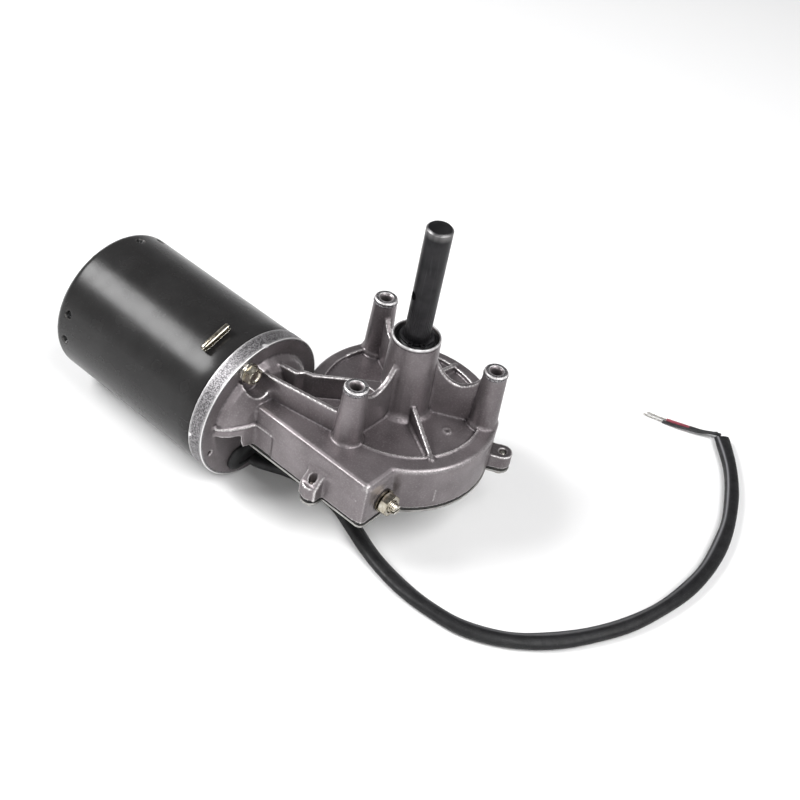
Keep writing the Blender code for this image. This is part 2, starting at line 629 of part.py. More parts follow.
def commutator_drum(axis, copper):
    """The copper bars as one ring with a groove between each pair."""
    notched = []
    bar = 360 / COMMUTATOR_BARS
    for number in range(COMMUTATOR_BARS):
        notched += arc((0, 0), COMMUTATOR_R, bar * number + 1.8, bar * (number + 1) - 1.8, 2)
        notched += arc((0, 0), COMMUTATOR_R - 0.9, bar * (number + 1) - 1.6, bar * (number + 1) + 1.6, 1)
    drum = prism("commutator", notched, *COMMUTATOR_X, "X", axis, copper)
    shape_with(drum, "DIFFERENCE", [rod("commutator_bore", -90, -60, CORE_R + 0.3, "X", axis, segments=20)])


def worm_thread(axis):
    """A single-start trapezoid thread as a closed strip wound on the worm's root cylinder."""
    pitch, steps, half_turns = math.pi * MODULE, 16, 5
    root, tip = WORM_PITCH_R - DEDENDUM, WORM_PITCH_R + ADDENDUM
    sunk = root - 0.5
    points, faces = [], []
    first = -half_turns * steps // 2
    for step in range(first, -first + 1):
        turn = 2 * math.pi * step / steps
        fade = min(1.0, 0.4 + (abs(first) - abs(step)) / 8)
        height = sunk + (tip - sunk) * fade
        for radius in (sunk, height):
            half = (TOOTH_WIDTH / 2 + (WORM_PITCH_R - radius) * PRESSURE_TAN) * (1 if fade == 1 else fade)
            ends = (-half, half) if radius == sunk else (half, -half)
            for along in ends:
                x = pitch * step / steps + along
                points.append((x, radius * math.cos(turn), radius * math.sin(turn)))
    sections = len(points) // 4
    for section in range(sections - 1):
        here, there = 4 * section, 4 * section + 4
        faces += [(here + i, here + (i + 1) % 4, there + (i + 1) % 4, there + i) for i in range(4)]
    faces += [(0, 1, 2, 3), tuple(4 * sections - 4 + i for i in range(4))]
    return mesh_object("worm_thread", points, faces, axis, None)


def lamination_stack(axis, look):
    outline = []
    for tooth in range(ARMATURE_SLOTS):
        middle = 360 * tooth / ARMATURE_SLOTS
        outline += arc((0, 0), 27.3, middle - 12.2, middle + 12.2, 3)
        outline += [polar(25.6, middle + 11.6), polar(24.6, middle + 6.0), polar(13.0, middle + 8.0)]
        outline += [polar(13.0, middle + 22.0), polar(24.6, middle + 24.0), polar(25.6, middle + 18.4)]
    made = prism("lamination_stack", outline, *STACK_X, "X", axis, look)
    shape_with(made, "DIFFERENCE", [rod("stack_bore", -145, -80, 5.3, "X", axis, segments=24)])


def winding(axis, look):
    """Copper coils: a bar through every slot, joined by the end turns at both ends of the stack."""
    rear = [(-145.5, 9), (-146.5, 15), (-145.5, 22), (-142, 24.4), (-137.4, 24.0), (-137.4, 9)]
    front = [(-88.6, 9), (-88.6, 24.0), (-85, 24.2), (-81, 20), (-80.0, 12), (-80.5, 9)]
    made = turned("armature_winding", rear, "X", axis, look, 24)
    tools = [turned("front_end_turns", front, "X", axis, segments=24)]
    for slot_number in range(ARMATURE_SLOTS):
        middle = 360 * (slot_number + 0.5) / ARMATURE_SLOTS
        bar = [polar(13.5, middle - 5.2), polar(23.8, middle - 7.6)]
        bar += [polar(23.8, middle + 7.6), polar(13.5, middle + 5.2)]
        tools.append(prism(f"slot_coil_{slot_number}", bar, -138.5, -87.5, "X", axis))
    shape_with(made, "UNION", tools)


# ---- output side ----------------------------------------------------------------------------------------
def output_side(axis, steel, nylon, zinc):
    """Output shaft, worm wheel, hub, key and rings, which turn as one."""
    low, top = WORM_Z - WHEEL_T / 2, WORM_Z + WHEEL_T / 2
    profile = [(-0.3, 0), (-0.3, 4.6), (0.1, 5.0), (5.4, 5.0), (5.4, SHAFT_R), (CIRCLIP_Z - 0.1, SHAFT_R)]
    profile += [(CIRCLIP_Z - 0.1, 5.5), (CIRCLIP_Z + 1.1, 5.5), (CIRCLIP_Z + 1.1, SHAFT_R)]
    profile += [(SHAFT_TOP - 1.1, SHAFT_R), (SHAFT_TOP, SHAFT_R - 1.1), (SHAFT_TOP, 0)]
    shaft = turned("output_shaft", profile, "Z", axis, steel, 28)
    hole = rod("cross_hole", -9, 9, PIN_R + 0.1, "X", axis, segments=20, centre=(0, 0, CROSS_HOLE_Z))
    hole.rotation_euler[2] = math.radians(CROSS_HOLE_ANGLE)
    seat = box("shaft_keyway", (3.6, -2.1, 6.6), (8, 2.1, 19.4), axis)
    shape_with(shaft, "DIFFERENCE", [hole, seat])

    lean = WHEEL_T / 2 * LEAD_TAN / WHEEL_PITCH_R
    wheel = prism("worm_wheel", wheel_outline(), low, top, "Z", axis, nylon, twist=lean)
    cuts = [ring("wheel_recess_top", WORM_Z + 2.5, top + 2, 14.0, 30.5, "Z", axis, segments=32)]
    cuts.append(ring("wheel_recess_bottom", low - 2, WORM_Z - 2.5, 14.0, 30.5, "Z", axis, segments=32))
    cuts.append(prism("wheel_bore", hexagon(19.0), low - 2, top + 2, "Z", axis))
    shape_with(wheel, "DIFFERENCE", cuts)

    hub = prism("wheel_hub", hexagon(18.4), low - 0.2, top + 3, "Z", axis, zinc)
    hub_cuts = [rod("hub_bore", 0, 30, SHAFT_R + 0.1, "Z", axis)]
    hub_cuts.append(box("hub_keyway", (4, -2.1, 0), (8.2, 2.1, 30), axis))
    shape_with(hub, "DIFFERENCE", hub_cuts)
    box("drive_key", (3.8, -1.95, 6.8), (7.9, 1.95, 19.2), axis, steel)
    ring("hub_thrust_washer", top + 3.3, top + 4.3, SHAFT_R + 0.15, 10.0, "Z", axis, steel, 24)
    circlip(axis, steel)


def wheel_outline():
    """Worm wheel outline with a tooth space facing the worm."""
    root, tip = WHEEL_PITCH_R - DEDENDUM, WHEEL_PITCH_R + ADDENDUM
    outline = []
    for tooth in range(WHEEL_TEETH):
        middle = -90 + 360 * (tooth + 0.5) / WHEEL_TEETH
        for radius, side in ((root, -1), (tip, -1), (tip, 1), (root, 1)):
            half = TOOTH_WIDTH / 2 - (radius - WHEEL_PITCH_R) * PRESSURE_TAN
            outline.append(polar(radius, middle + side * math.degrees(half / radius)))
    return outline


def circlip(axis, look):
    """External retaining ring in the shaft's groove, with an eye each side of its gap."""
    gap, low, high = -51, CIRCLIP_Z, CIRCLIP_Z + 0.9
    made = ring("shaft_circlip", low, high, 5.6, 8.0, "Z", axis, look, 28)
    wedge = [polar(3, gap), polar(12, gap - 13), polar(12, gap + 13)]
    eyes, cuts = [], [prism("circlip_gap", wedge, low - 1, high + 1, "Z", axis)]
    for side in (-1, 1):
        x, y = polar(7.5, gap + side * 25)
        eyes.append(rod(f"circlip_eye_{side}", low, high, 1.8, "Z", axis, None, 16, (x, y, 0)))
        cuts.append(rod(f"circlip_hole_{side}", low - 1, high + 1, 0.8, "Z", axis, None, 12, (x, y, 0)))
    cuts.append(rod("circlip_bore", low - 1, high + 1, 5.65, "Z", axis, segments=28))
    shape_with(made, "UNION", eyes)
    shape_with(made, "DIFFERENCE", cuts)


def oil_seal(case, look):
    lip = SHAFT_R + 0.12
    profile = [(58.3, lip + 0.6), (58.3, 10.2), (64.2, 10.2), (64.2, 9.3), (63.4, 8.8), (63.4, 7.6)]
    profile += [(64.0, 7.2), (64.0, lip + 0.5), (63.0, lip), (61.5, lip + 0.6)]
    turned("oil_seal", profile, "Z", case, look, 32)


# ---- cord -----------------------------------------------------------------------------------------------
def smooth_route(places, spacing):
    """Evenly spaced points on a Catmull-Rom curve through the given places."""
    nodes = [Vector(p) for p in places]
    nodes = [2 * nodes[0] - nodes[1], *nodes, 2 * nodes[-1] - nodes[-2]]
    fine = []
    for a, b, c, d in zip(nodes, nodes[1:], nodes[2:], nodes[3:]):
        for step in range(24):
            t = step / 24
            bend, twist = 2 * a - 5 * b + 4 * c - d, 3 * b - a - 3 * c + d
            fine.append(0.5 * (2 * b + (c - a) * t + bend * t**2 + twist * t**3))
    fine.append(nodes[-2])
    total = sum((b - a).length for a, b in zip(fine, fine[1:]))
    count = max(2, round(total / spacing))
    made, travelled, target = [fine[0]], 0.0, total / count
    for a, b in zip(fine, fine[1:]):
        step = (b - a).length
        while travelled + step >= target and len(made) < count:
            made.append(a.lerp(b, (target - travelled) / step))
            target += total / count
        travelled += step
    made.append(fine[-1])
    return made


def tube(name, places, radius, spacing, parent, look, sides):
    """A tube along a smooth route, as a curve object with closed ends."""
    curve = bpy.data.curves.new(name, "CURVE")
    curve.dimensions = "3D"
    curve.bevel_depth = radius * MM
    curve.bevel_resolution = sides
    curve.use_fill_caps = True
    route = smooth_route(places, spacing)
    spline = curve.splines.new("POLY")
    spline.points.add(len(route) - 1)
    for point, place in zip(spline.points, route):
        point.co = (*(place * MM), 1.0)
    curve.materials.append(look)
    made = bpy.data.objects.new(name, curve)
    made.parent = parent
    bpy.context.scene.collection.objects.link(made)
    return made


def cord(case, motor, sleeve_look, red_look, black_look, tin_look, rubber):
    grommet = slot("cord_grommet", FLANGE_X[0] + 0.6, FLANGE_X[1] - 0.4, -ASSEMBLY_GAP, motor, rubber)
    collar = slot("grommet_collar", FLANGE_X[1] - 1.0, FLANGE_X[1] + 3.4, -0.9, motor)
    shape_with(grommet, "UNION", [collar])
    tube("cord_sleeve", CORD_ROUTE, CORD_R, 8.0, case, sleeve_look, 3)
    for name, route, look in (("red", RED_ROUTE, red_look), ("black", BLACK_ROUTE, black_look)):
        tube(f"wire_{name}", route, WIRE_R, 2.4, case, look, 2)
        before, end = Vector(route[-2]), Vector(route[-1])
        ahead = (end - before).normalized()
        ahead.z = 0
        start = end + ahead * ASSEMBLY_GAP
        tip = (start, start + ahead * WIRE_TIP / 2, start + ahead * WIRE_TIP)
        tube(f"wire_{name}_tip", tip, WIRE_R * 0.6, 2.0, case, tin_look, 2)


def spring_pin(motor, look):
    """Slotted pin for the shaft's cross hole, held on top of the can by the magnets."""
    outline = arc((0, 0), PIN_R, 22, 338, 20) + arc((0, 0), PIN_R - 0.55, 335, 25, 20)
    made = prism("spring_pin", outline, -PIN_LENGTH / 2, PIN_LENGTH / 2, "X", motor, look)
    # Its axis lies along the can's tangent.
    around = math.radians(PIN_ANGLE)
    radial = Vector((0, math.cos(around), math.sin(around)))
    tangent = Vector((0, -math.sin(around), math.cos(around)))
    middle = Vector((PIN_X, 0, 0)) + radial * (CAN_R + PIN_R + 0.15)
    across = tangent.cross(radial)
    turn = Matrix((tangent, across, radial)).transposed().to_4x4()
    made.matrix_local = Matrix.Translation(middle * MM) @ turn @ Matrix.Rotation(math.radians(150), 4, "X")


# ---- the whole motor ------------------------------------------------------------------------------------
def build():
    clear_scene()
    cast = material("cast_aluminium", (0.36, 0.34, 0.345), 0.45, 1.0)
    paint = material("black_paint", (0.012, 0.012, 0.013), 0.32, 0.0)
    zinc = material("zinc_plate", (0.62, 0.58, 0.46), 0.3, 1.0)
    steel = material("bright_steel", (0.5, 0.5, 0.5), 0.3, 1.0)
    oxide = material("black_oxide", (0.03, 0.03, 0.033), 0.38, 0.8)
    bronze = material("sintered_bronze", (0.45, 0.3, 0.15), 0.5, 1.0)
    rubber = material("black_rubber", (0.015, 0.015, 0.015), 0.6, 0.0)
    nylon = material("white_nylon", (0.8, 0.78, 0.7), 0.45, 0.0)
    copper = material("copper", (0.7, 0.28, 0.13), 0.35, 1.0)
    iron = material("silicon_iron", (0.3, 0.3, 0.31), 0.5, 1.0)
    ferrite = material("ferrite", (0.05, 0.05, 0.055), 0.7, 0.0)
    board = material("phenolic_board", (0.25, 0.12, 0.05), 0.6, 0.0)
    carbon = material("carbon", (0.03, 0.03, 0.03), 0.6, 0.0)
    paper = material("gasket_paper", (0.3, 0.28, 0.22), 0.8, 0.0)
    brass = material("brass", (0.7, 0.5, 0.2), 0.35, 1.0)
    tin = material("tinned_copper", (0.7, 0.7, 0.68), 0.3, 1.0)
    red = material("red_insulation", (0.5, 0.02, 0.02), 0.4, 0.0)
    black = material("black_insulation", (0.02, 0.02, 0.02), 0.4, 0.0)
    sheath = material("cord_sheath", (0.02, 0.02, 0.022), 0.5, 0.0)

    case = empty("case_frame", (SHAFT_X, SHAFT_Y, -FLOOR))
    motor = empty("motor_frame", (0, -CENTRE_DISTANCE, WORM_Z), case)

    gear_case(case, motor, cast)
    cover(case, zinc)
    gasket(case, paper)
    cover_screws(case, zinc)
    can(motor, paint)
    magnets(motor, ferrite)
    through_bolts(motor, zinc)
    brush_gear(motor, board, brass, carbon, steel)
    bearings(motor, case, steel, bronze)
    end_play_screw(motor, zinc, steel)
    armature(motor, steel, iron, copper)
    output_side(case, oxide, nylon, zinc)
    oil_seal(case, rubber)
    cord(case, motor, sheath, red, black, tin, rubber)
    spring_pin(motor, zinc)


build()
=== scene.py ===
"""Looks of the right-angle worm gearmotor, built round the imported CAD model.

Lengths are millimetres until a mesh is made of them, in two frames that are parallel to the world:
  CASE   origin on the output shaft's axis, level with the underside of the gearbox cover
  MOTOR  origin on the armature's axis, level with the output shaft
"""

import json
import math
from itertools import product

import bpy
from mathutils import Matrix, Vector, noise


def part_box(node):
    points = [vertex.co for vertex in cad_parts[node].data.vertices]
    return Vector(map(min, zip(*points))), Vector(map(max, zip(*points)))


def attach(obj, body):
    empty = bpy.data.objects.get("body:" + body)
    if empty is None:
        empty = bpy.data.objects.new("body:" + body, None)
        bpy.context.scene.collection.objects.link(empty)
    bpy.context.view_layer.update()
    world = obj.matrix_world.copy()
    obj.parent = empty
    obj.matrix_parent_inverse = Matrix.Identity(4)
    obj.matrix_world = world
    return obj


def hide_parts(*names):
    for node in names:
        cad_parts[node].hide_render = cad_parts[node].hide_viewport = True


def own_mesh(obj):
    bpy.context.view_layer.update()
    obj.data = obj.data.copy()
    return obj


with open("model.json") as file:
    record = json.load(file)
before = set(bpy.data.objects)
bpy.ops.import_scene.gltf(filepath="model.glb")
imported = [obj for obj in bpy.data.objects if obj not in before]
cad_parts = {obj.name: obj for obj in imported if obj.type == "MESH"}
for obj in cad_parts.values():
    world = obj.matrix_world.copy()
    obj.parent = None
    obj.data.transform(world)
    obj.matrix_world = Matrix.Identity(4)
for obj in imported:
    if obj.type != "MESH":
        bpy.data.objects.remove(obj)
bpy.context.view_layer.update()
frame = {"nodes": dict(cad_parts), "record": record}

MM = 0.001
JOINTS = {joint["name"]: joint for joint in frame["record"]["behaviour"]["joints"]}
MOTOR = Vector(JOINTS["armature_spin"]["pos_m"]) / MM
WORM_Z = 11.2
CASE = Vector(JOINTS["output_spin"]["pos_m"]) / MM - Vector((0, 0, WORM_Z))
DIRECTIONS = {
    "X": (Vector((1, 0, 0)), Vector((0, 1, 0)), Vector((0, 0, 1))),
    "Y": (Vector((0, 1, 0)), Vector((0, 0, 1)), Vector((1, 0, 0))),
    "Z": (Vector((0, 0, 1)), Vector((1, 0, 0)), Vector((0, 1, 0))),
}

# ---- dimensions shared with the CAD model ----
SHAFT_R, SHAFT_TOP = 6.0, 124.0
CROSS_HOLE_Z, CROSS_HOLE_ANGLE = 88.5, 240
CIRCLIP_Z = 64.75
BOSS_R, BOSS_TOP = 11.5, 65.9
POST_PITCH_R, POST_TOP, POST_R = 38.7, 56.8, 5.6
POST_ANGLES = (30, 150, 270)
CAN_R, CAN_WALL, CAN_REAR, CAN_CUP = 37.4, 2.2, -152.6, 5.0
DIMPLE_X = -144.5
DIMPLE_ANGLES = (54, 76, 161, 183, 274, 296)
FLANGE_R, FLANGE_X = 37.6, (-57.6, -49.4)
BOLT_CIRCLE, BOLT_ANGLES = 31.5, (111.8, 291.8)
BOX_END = 28.3
LUGS = ((30, 51.8), (90, 49.0), (150, 48.6), (270, 59.0), (208, 50.0))
LUG_TOP = 10.0
PIN_R, PIN_LENGTH, PIN_X, PIN_ANGLE = 2.0, 16.0, -68.2, 110
PORT_PLACE, PORT_HALF = (-6.0, -25.0), (10.0, 4.4)
FLOOR_Z = -26.4  # the floor in the case frame
POCKET_FLOOR, CASE_TOP = 24.4, 25.9
GAP = 0.3  # between neighbouring pieces

# ---- looks only ----
POCKET_LINES = (
    ((-5.3, 33.9), (6.2, 28.5)),
    ((1.2, 31.5), (1.2, 40.4)),
    ((-9.8, 40.2), (-6.4, 40.8)),
    ((12.6, -9.0), (33.1, -20.7)),
)
POCKET_RIM_R, POCKET_RIM_ANGLES = (37.7, 38.8), (-87, 176)
WALL_MARK_R, WALL_MARK_ANGLES, WALL_MARK_Z = (45.5, 47.75), (-28.6, -27.6), (6.5, 13.5)
CASTING_GRID, CASTING_SHARE = 0.55, 0.41  # remesh size in mm, share of faces kept
SHAFT_BEVEL = 1.0
RING_GAP, RING_EYE = -51, 25  # the retaining ring's gap, and how far from it each eye is, in degrees
SCREW_TIP = 37.3
SPRING_TURNS, BRUSH_TRAVEL = 6, 3.0  # the travel is the record's
CREASE = 32  # edges sharper than this many degrees stay sharp
BLACK = (0.004, 0.004, 0.0045)
# Pale metal colour of the painted highlight on the sharp rims of machined tops.
RIM_HIGHLIGHT = (0.93, 0.92, 0.92)

# ---- cord, as in the CAD model: routes in the case frame, in metres ----
CORD_ROUTE = (
    (-0.0442, -0.0500, -0.0140),
    (-0.0404, -0.0490, -0.0143),
    (-0.0350, -0.0454, -0.0153),
    (-0.0290, -0.0408, -0.0169),
    (-0.0215, -0.0374, -0.0188),
    (-0.0115, -0.0354, -0.0212),
    (0.0015, -0.0358, -0.0226),
    (0.0145, -0.0400, -0.0226),
    (0.0266, -0.0443, -0.0226),
    (0.0386, -0.0474, -0.0226),
    (0.0533, -0.0495, -0.0226),
    (0.0691, -0.0494, -0.0226),
    (0.0864, -0.0462, -0.0226),
    (0.1040, -0.0364, -0.0226),
    (0.1182, -0.0218, -0.0226),
    (0.1300, -0.0034, -0.0226),
    (0.1394, 0.0186, -0.0226),
    (0.1450, 0.0456, -0.0226),
    (0.1452, 0.0730, -0.0226),
    (0.1390, 0.1016, -0.0226),
    (0.1292, 0.1246, -0.0226),
    (0.1176, 0.1434, -0.0226),
    (0.1042, 0.1590, -0.0226),
    (0.1012, 0.1622, -0.0226),
)
CORD_WIDTH, CORD_THICK = 7.6, 5.2
CORD_SIDES, GROMMET_SIDES = 40, 48
CORD_SINK = 0.95  # the flat sleeve lies this much lower than the round solid's middle
WIRE_R, WIRE_TIP = 0.8, 11.0
INNER_SLEEVE_SHARE = 0.58  # of the red wire
WIRE_Z = FLOOR_Z * MM + 0.001
WIRE_ROUTES = {
    "red": (
        (0.0999, 0.1635, -0.0232),
        (0.0956, 0.1622, -0.0240),
        (0.0900, 0.1588, -0.0244),
        (0.0800, 0.1550, -0.0248),
        (0.0720, 0.1524, WIRE_Z),
    ),
    "black": (
        (0.0982, 0.1617, -0.0218),
        (0.0946, 0.1592, -0.0226),
        (0.0894, 0.1564, -0.0240),
        (0.0796, 0.1520, -0.0246),
        (0.0712, 0.1494, WIRE_Z),
    ),
}


# ---- camera, floor and light ----
def add(name, data):
    made = bpy.data.objects.new(name, data)
    bpy.context.scene.collection.objects.link(made)
    return made


def look_from(azimuth, elevation):
    """Direction from the object to a viewer at this azimuth and elevation."""
    a, e = math.radians(azimuth), math.radians(elevation)
    return Vector((math.sin(a) * math.cos(e), -math.cos(a) * math.cos(e), math.sin(e)))


def camera():
    """The camera looks down on the gearbox from the front right, a little rolled."""
    towards = look_from(32.50, 42.87)
    roll, distance = math.radians(12.39), 0.6355
    right = (-towards).cross(Vector((0, 0, 1))).normalized()
    up = right.cross(-towards)
    rolled = right * math.cos(roll) + up * math.sin(roll)
    upright = up * math.cos(roll) - right * math.sin(roll)
    place = Matrix((rolled, upright, towards)).transposed().to_4x4()
    place.translation = CASE * MM + towards * distance
    data = bpy.data.cameras.new("camera")
    data.sensor_width, data.lens = 36, 59.37
    data.shift_x, data.shift_y = 0.0075, 0.0497
    data.clip_start = 0.01
    made = add("camera", data)
    made.matrix_world = place
    bpy.context.scene.camera = made


def floor():
    """A plain pale disc under the motor."""
    mesh = bpy.data.meshes.new("floor")
    rim = [polar(1.6, 5 * step) for step in range(72)]
    mesh.from_pydata([(x, y, 0) for x, y in rim], [], [list(range(72))])
    look = bpy.data.materials.new("floor")
    look.use_nodes = True
    shader = look.node_tree.nodes["Principled BSDF"]
    shader.inputs["Base Color"].default_value = (0.76, 0.76, 0.76, 1)
    shader.inputs["Roughness"].default_value = 0.9
    mesh.materials.append(look)
    add("floor", mesh)


def softbox(name, azimuth, elevation, distance, size, watts):
    """A rectangular light, distance metres from the motor and turned towards it."""
    data = bpy.data.lights.new(name, "AREA")
    data.shape, data.size, data.size_y = "RECTANGLE", size[0], size[1]
    data.energy = watts
    made = add(name, data)
    towards = look_from(azimuth, elevation)
    made.location = Vector((0, 0, 0.05)) + towards * distance
    made.rotation_euler = towards.to_track_quat("Z", "Y").to_euler()


def studio():
    """A key softbox at the front left, weaker ones round it, and a room that is pale low and dim above."""
    bpy.context.scene.view_settings.view_transform = "Standard"
    softbox("key_light", -52, 43, 1.3, (0.72, 0.46), 22)
    softbox("front_light", 40, 25, 1.6, (1.0, 0.6), 6)
    softbox("side_light", 95, 55, 1.6, (1.2, 1.2), 27)
    world = bpy.data.worlds.new("studio")
    bpy.context.scene.world = world
    world.use_nodes = True
    nodes, links = world.node_tree.nodes, world.node_tree.links
    place = nodes.new("ShaderNodeTexCoord")
    split = nodes.new("ShaderNodeSeparateXYZ")
    ramp = nodes.new("ShaderNodeValToRGB")
    links.new(place.outputs["Generated"], split.inputs[0])
    links.new(split.outputs["Z"], ramp.inputs[0])
    links.new(ramp.outputs[0], nodes["Background"].inputs[0])
    ramp.color_ramp.elements[0].position = 0.1
    ramp.color_ramp.elements[0].color = (0.5, 0.5, 0.5, 1)
    white = ramp.color_ramp.elements.new(0.02)
    white.color = (0.95, 0.95, 0.95, 1)
    ramp.color_ramp.elements[2].position = 0.5
    ramp.color_ramp.elements[2].color = (0.16, 0.16, 0.165, 1)
    nodes["Background"].inputs[1].default_value = 1.0


# ---- materials ----
class Look:
    """A Principled material with the few node patterns that the looks share."""

    def __init__(self, name, metallic=0.0, ior=1.5):
        self.material = bpy.data.materials.new(name)
        self.material.use_nodes = True
        self.tree = self.material.node_tree
        self.shader = self.tree.nodes["Principled BSDF"]
        self.shader.inputs["Metallic"].default_value = metallic
        self.shader.inputs["IOR"].default_value = ior
        self.place = self.tree.nodes.new("ShaderNodeTexCoord").outputs["Object"]
        self.relief = None

    def node(self, kind, **values):
        made = self.tree.nodes.new(kind)
        for name, value in values.items():
            setattr(made, name, value)
        return made

    def link(self, source, target):
        self.tree.links.new(source, target)

    def grain(self, size, detail=3.0, stretch=(1, 1, 1), offset=0.0):
        """Noise whose features are about size mm across, longer along an axis where stretch is above 1."""
        mapping = self.node("ShaderNodeMapping")
        mapping.inputs["Location"].default_value = (offset, offset * 1.7, offset * 0.6)
        mapping.inputs["Scale"].default_value = [1 / (size * MM * s) for s in stretch]
        texture = self.node("ShaderNodeTexNoise")
        texture.inputs["Scale"].default_value = 1.0
        texture.inputs["Detail"].default_value = detail
        self.link(self.place, mapping.inputs["Vector"])
        self.link(mapping.outputs[0], texture.inputs["Vector"])
        return texture.outputs["Fac"]

    def rings(self, centre, axis, spacing):
        """Lathe marks round an axis through centre, both in mm in the world."""
        mapping = self.node("ShaderNodeMapping")
        mapping.inputs["Location"].default_value = -Vector(centre) * MM
        texture = self.node("ShaderNodeTexWave", wave_type="RINGS", rings_direction=axis)
        texture.inputs["Scale"].default_value = 0.05 / (spacing * MM)
        texture.inputs["Distortion"].default_value = 2.0
        texture.inputs["Detail"].default_value = 2.0
        self.link(self.place, mapping.inputs["Vector"])
        self.link(mapping.outputs[0], texture.inputs["Vector"])
        return texture.outputs["Fac"]

    def ramp(self, value, low, high, start=0.0, end=1.0):
        """The value taken from start..end to low..high, and held there."""
        made = self.node("ShaderNodeMapRange")
        made.inputs["From Min"].default_value = start
        made.inputs["From Max"].default_value = end
        made.inputs["To Min"].default_value = low
        made.inputs["To Max"].default_value = high
        self.link(value, made.inputs["Value"])
        return made.outputs[0]

    def mix(self, factor, first, second):
        """A colour between two others, each a colour or the output of another mix."""
        made = self.node("ShaderNodeMix", data_type="RGBA")
        self.link(factor, made.inputs["Factor"])
        for socket, colour in ((made.inputs["A"], first), (made.inputs["B"], second)):
            if isinstance(colour, tuple):
                socket.default_value = (*colour, 1)
            else:
                self.link(colour, socket)
        return made.outputs["Result"]

    def tones(self, value, dark, pale, start=0.35, end=0.65):
        """Two colours that drift into each other as the value goes from start to end."""
        return self.mix(self.ramp(value, 0, 1, start, end), dark, pale)

    def edges(self, low, high):
        """0 to 1 as the surface turns from hollow to sharply proud."""
        return self.ramp(self.node("ShaderNodeNewGeometry").outputs["Pointiness"], 0, 1, low, high)

    def attribute(self, name):
        return self.node("ShaderNodeAttribute", attribute_name=name).outputs["Fac"]

    def bump(self, height, depth):
        """Adds relief of up to depth mm."""
        made = self.node("ShaderNodeBump")
        made.inputs["Strength"].default_value = 1.0
        made.inputs["Distance"].default_value = depth * MM
        self.link(height, made.inputs["Height"])
        if self.relief:
            self.link(self.relief, made.inputs["Normal"])
        self.relief = made.outputs[0]

    def finish(self, colour, roughness):
        self.link(colour, self.shader.inputs["Base Color"])
        self.link(roughness, self.shader.inputs["Roughness"])
        self.link(self.relief, self.shader.inputs["Normal"])
        return self.material


def cast_look():
    """Die-cast alloy: a dull, slightly brown skin, with painted shade in its corners and a speckled painted
    highlight along its edges.
    """
    look = Look("cast_aluminium", metallic=0.8)
    flow = look.grain(22, detail=4)
    speckle = look.grain(0.8, detail=3, offset=3.0)
    body = look.tones(flow, (0.135, 0.118, 0.123), (0.225, 0.203, 0.210), 0.3, 0.7)
    body = look.mix(look.ramp(speckle, 0, 0.5, 0.5, 0.75), body, (0.30, 0.28, 0.285))
    # Painted shade: the colour goes near black in the casting's hollows and corners.
    body = look.mix(look.edges(0.492, 0.45), body, (0.035, 0.03, 0.033))
    # Painted highlight: a speckled pale colour along the casting's proud edges.
    highlight_speckle = look.grain(0.7, detail=2, offset=6.0)
    painted_highlight = look.tones(highlight_speckle, (0.42, 0.40, 0.40), (0.98, 0.96, 0.95), 0.4, 0.6)
    body = look.mix(look.edges(0.510, 0.560), body, painted_highlight)
    # Painted highlight: pale metal on the sharp rims of the lip round the seal, by each point's share.
    body = look.mix(look.attribute("bare_and_highlight"), body, RIM_HIGHLIGHT)
    look.bump(look.grain(0.55, detail=4), 0.035)
    look.bump(look.grain(3.5, detail=2, offset=5.0), 0.06)
    return look.finish(body, look.ramp(look.grain(6, offset=2.0), 0.34, 0.48, 0.3, 0.7))


def machined_look(name, centre, axis):
    """Turned alloy: lathe rings and a coarse sparkle, with a painted highlight along its edges and on its rims.
    """
    look = Look(name, metallic=1.0)
    sparkle = look.grain(0.55, detail=4)
    colour = look.tones(sparkle, (0.07, 0.067, 0.07), (0.34, 0.33, 0.34), 0.42, 0.6)
    # Painted highlight: a pale colour along the proud edges.
    colour = look.mix(look.edges(0.512, 0.54), colour, (0.80, 0.79, 0.79))
    # Painted highlight: pale metal on the sharp rims of the post tops, by each point's share.
    colour = look.mix(look.attribute("bare_and_highlight"), colour, RIM_HIGHLIGHT)
    look.bump(look.rings(centre, axis, 0.35), 0.01)
    look.bump(look.grain(0.8, detail=3, offset=1.0), 0.12)
    return look.finish(colour, look.ramp(sparkle, 0.48, 0.62, 0.3, 0.7))


def paint_look():
    """Satin black paint, with metal showing where the dimples were pressed through it."""
    look = Look("black_paint", ior=1.3)
    tone = look.tones(look.grain(14, offset=2.0), BLACK, (0.008, 0.008, 0.0085))
    dust = look.ramp(look.grain(0.4, detail=2, offset=7.0), 0, 0.35, 0.66, 0.74)
    tone = look.mix(dust, tone, (0.10, 0.10, 0.10))
    bare_and_highlight = look.attribute("bare_and_highlight")
    tone = look.mix(bare_and_highlight, tone, (0.22, 0.21, 0.20))
    look.bump(look.grain(0.9, detail=2), 0.012)
    look.link(look.ramp(bare_and_highlight, 0.0, 0.9), look.shader.inputs["Metallic"])
    return look.finish(tone, look.ramp(look.grain(9, detail=4, offset=4.0), 0.22, 0.29, 0.3, 0.7))


def zinc_look():
    """Yellow-passivated zinc: a faint tint that drifts slowly, with painted shade in the recesses and a painted
    highlight along the edges.
    """
    look = Look("zinc_plate", metallic=1.0)
    tint = look.grain(3.5, detail=3)
    colour = look.tones(tint, (0.30, 0.265, 0.20), (0.56, 0.53, 0.46))
    # Painted shade: darker in the recesses.
    colour = look.mix(look.edges(0.48, 0.42), colour, (0.10, 0.085, 0.055))
    # Painted highlight: a pale colour along the proud edges.
    colour = look.mix(look.edges(0.53, 0.60), colour, (0.93, 0.91, 0.84))
    look.bump(look.grain(0.6, detail=2, offset=2.0), 0.004)
    return look.finish(colour, look.ramp(look.grain(1.6, offset=6.0), 0.17, 0.28, 0.35, 0.65))


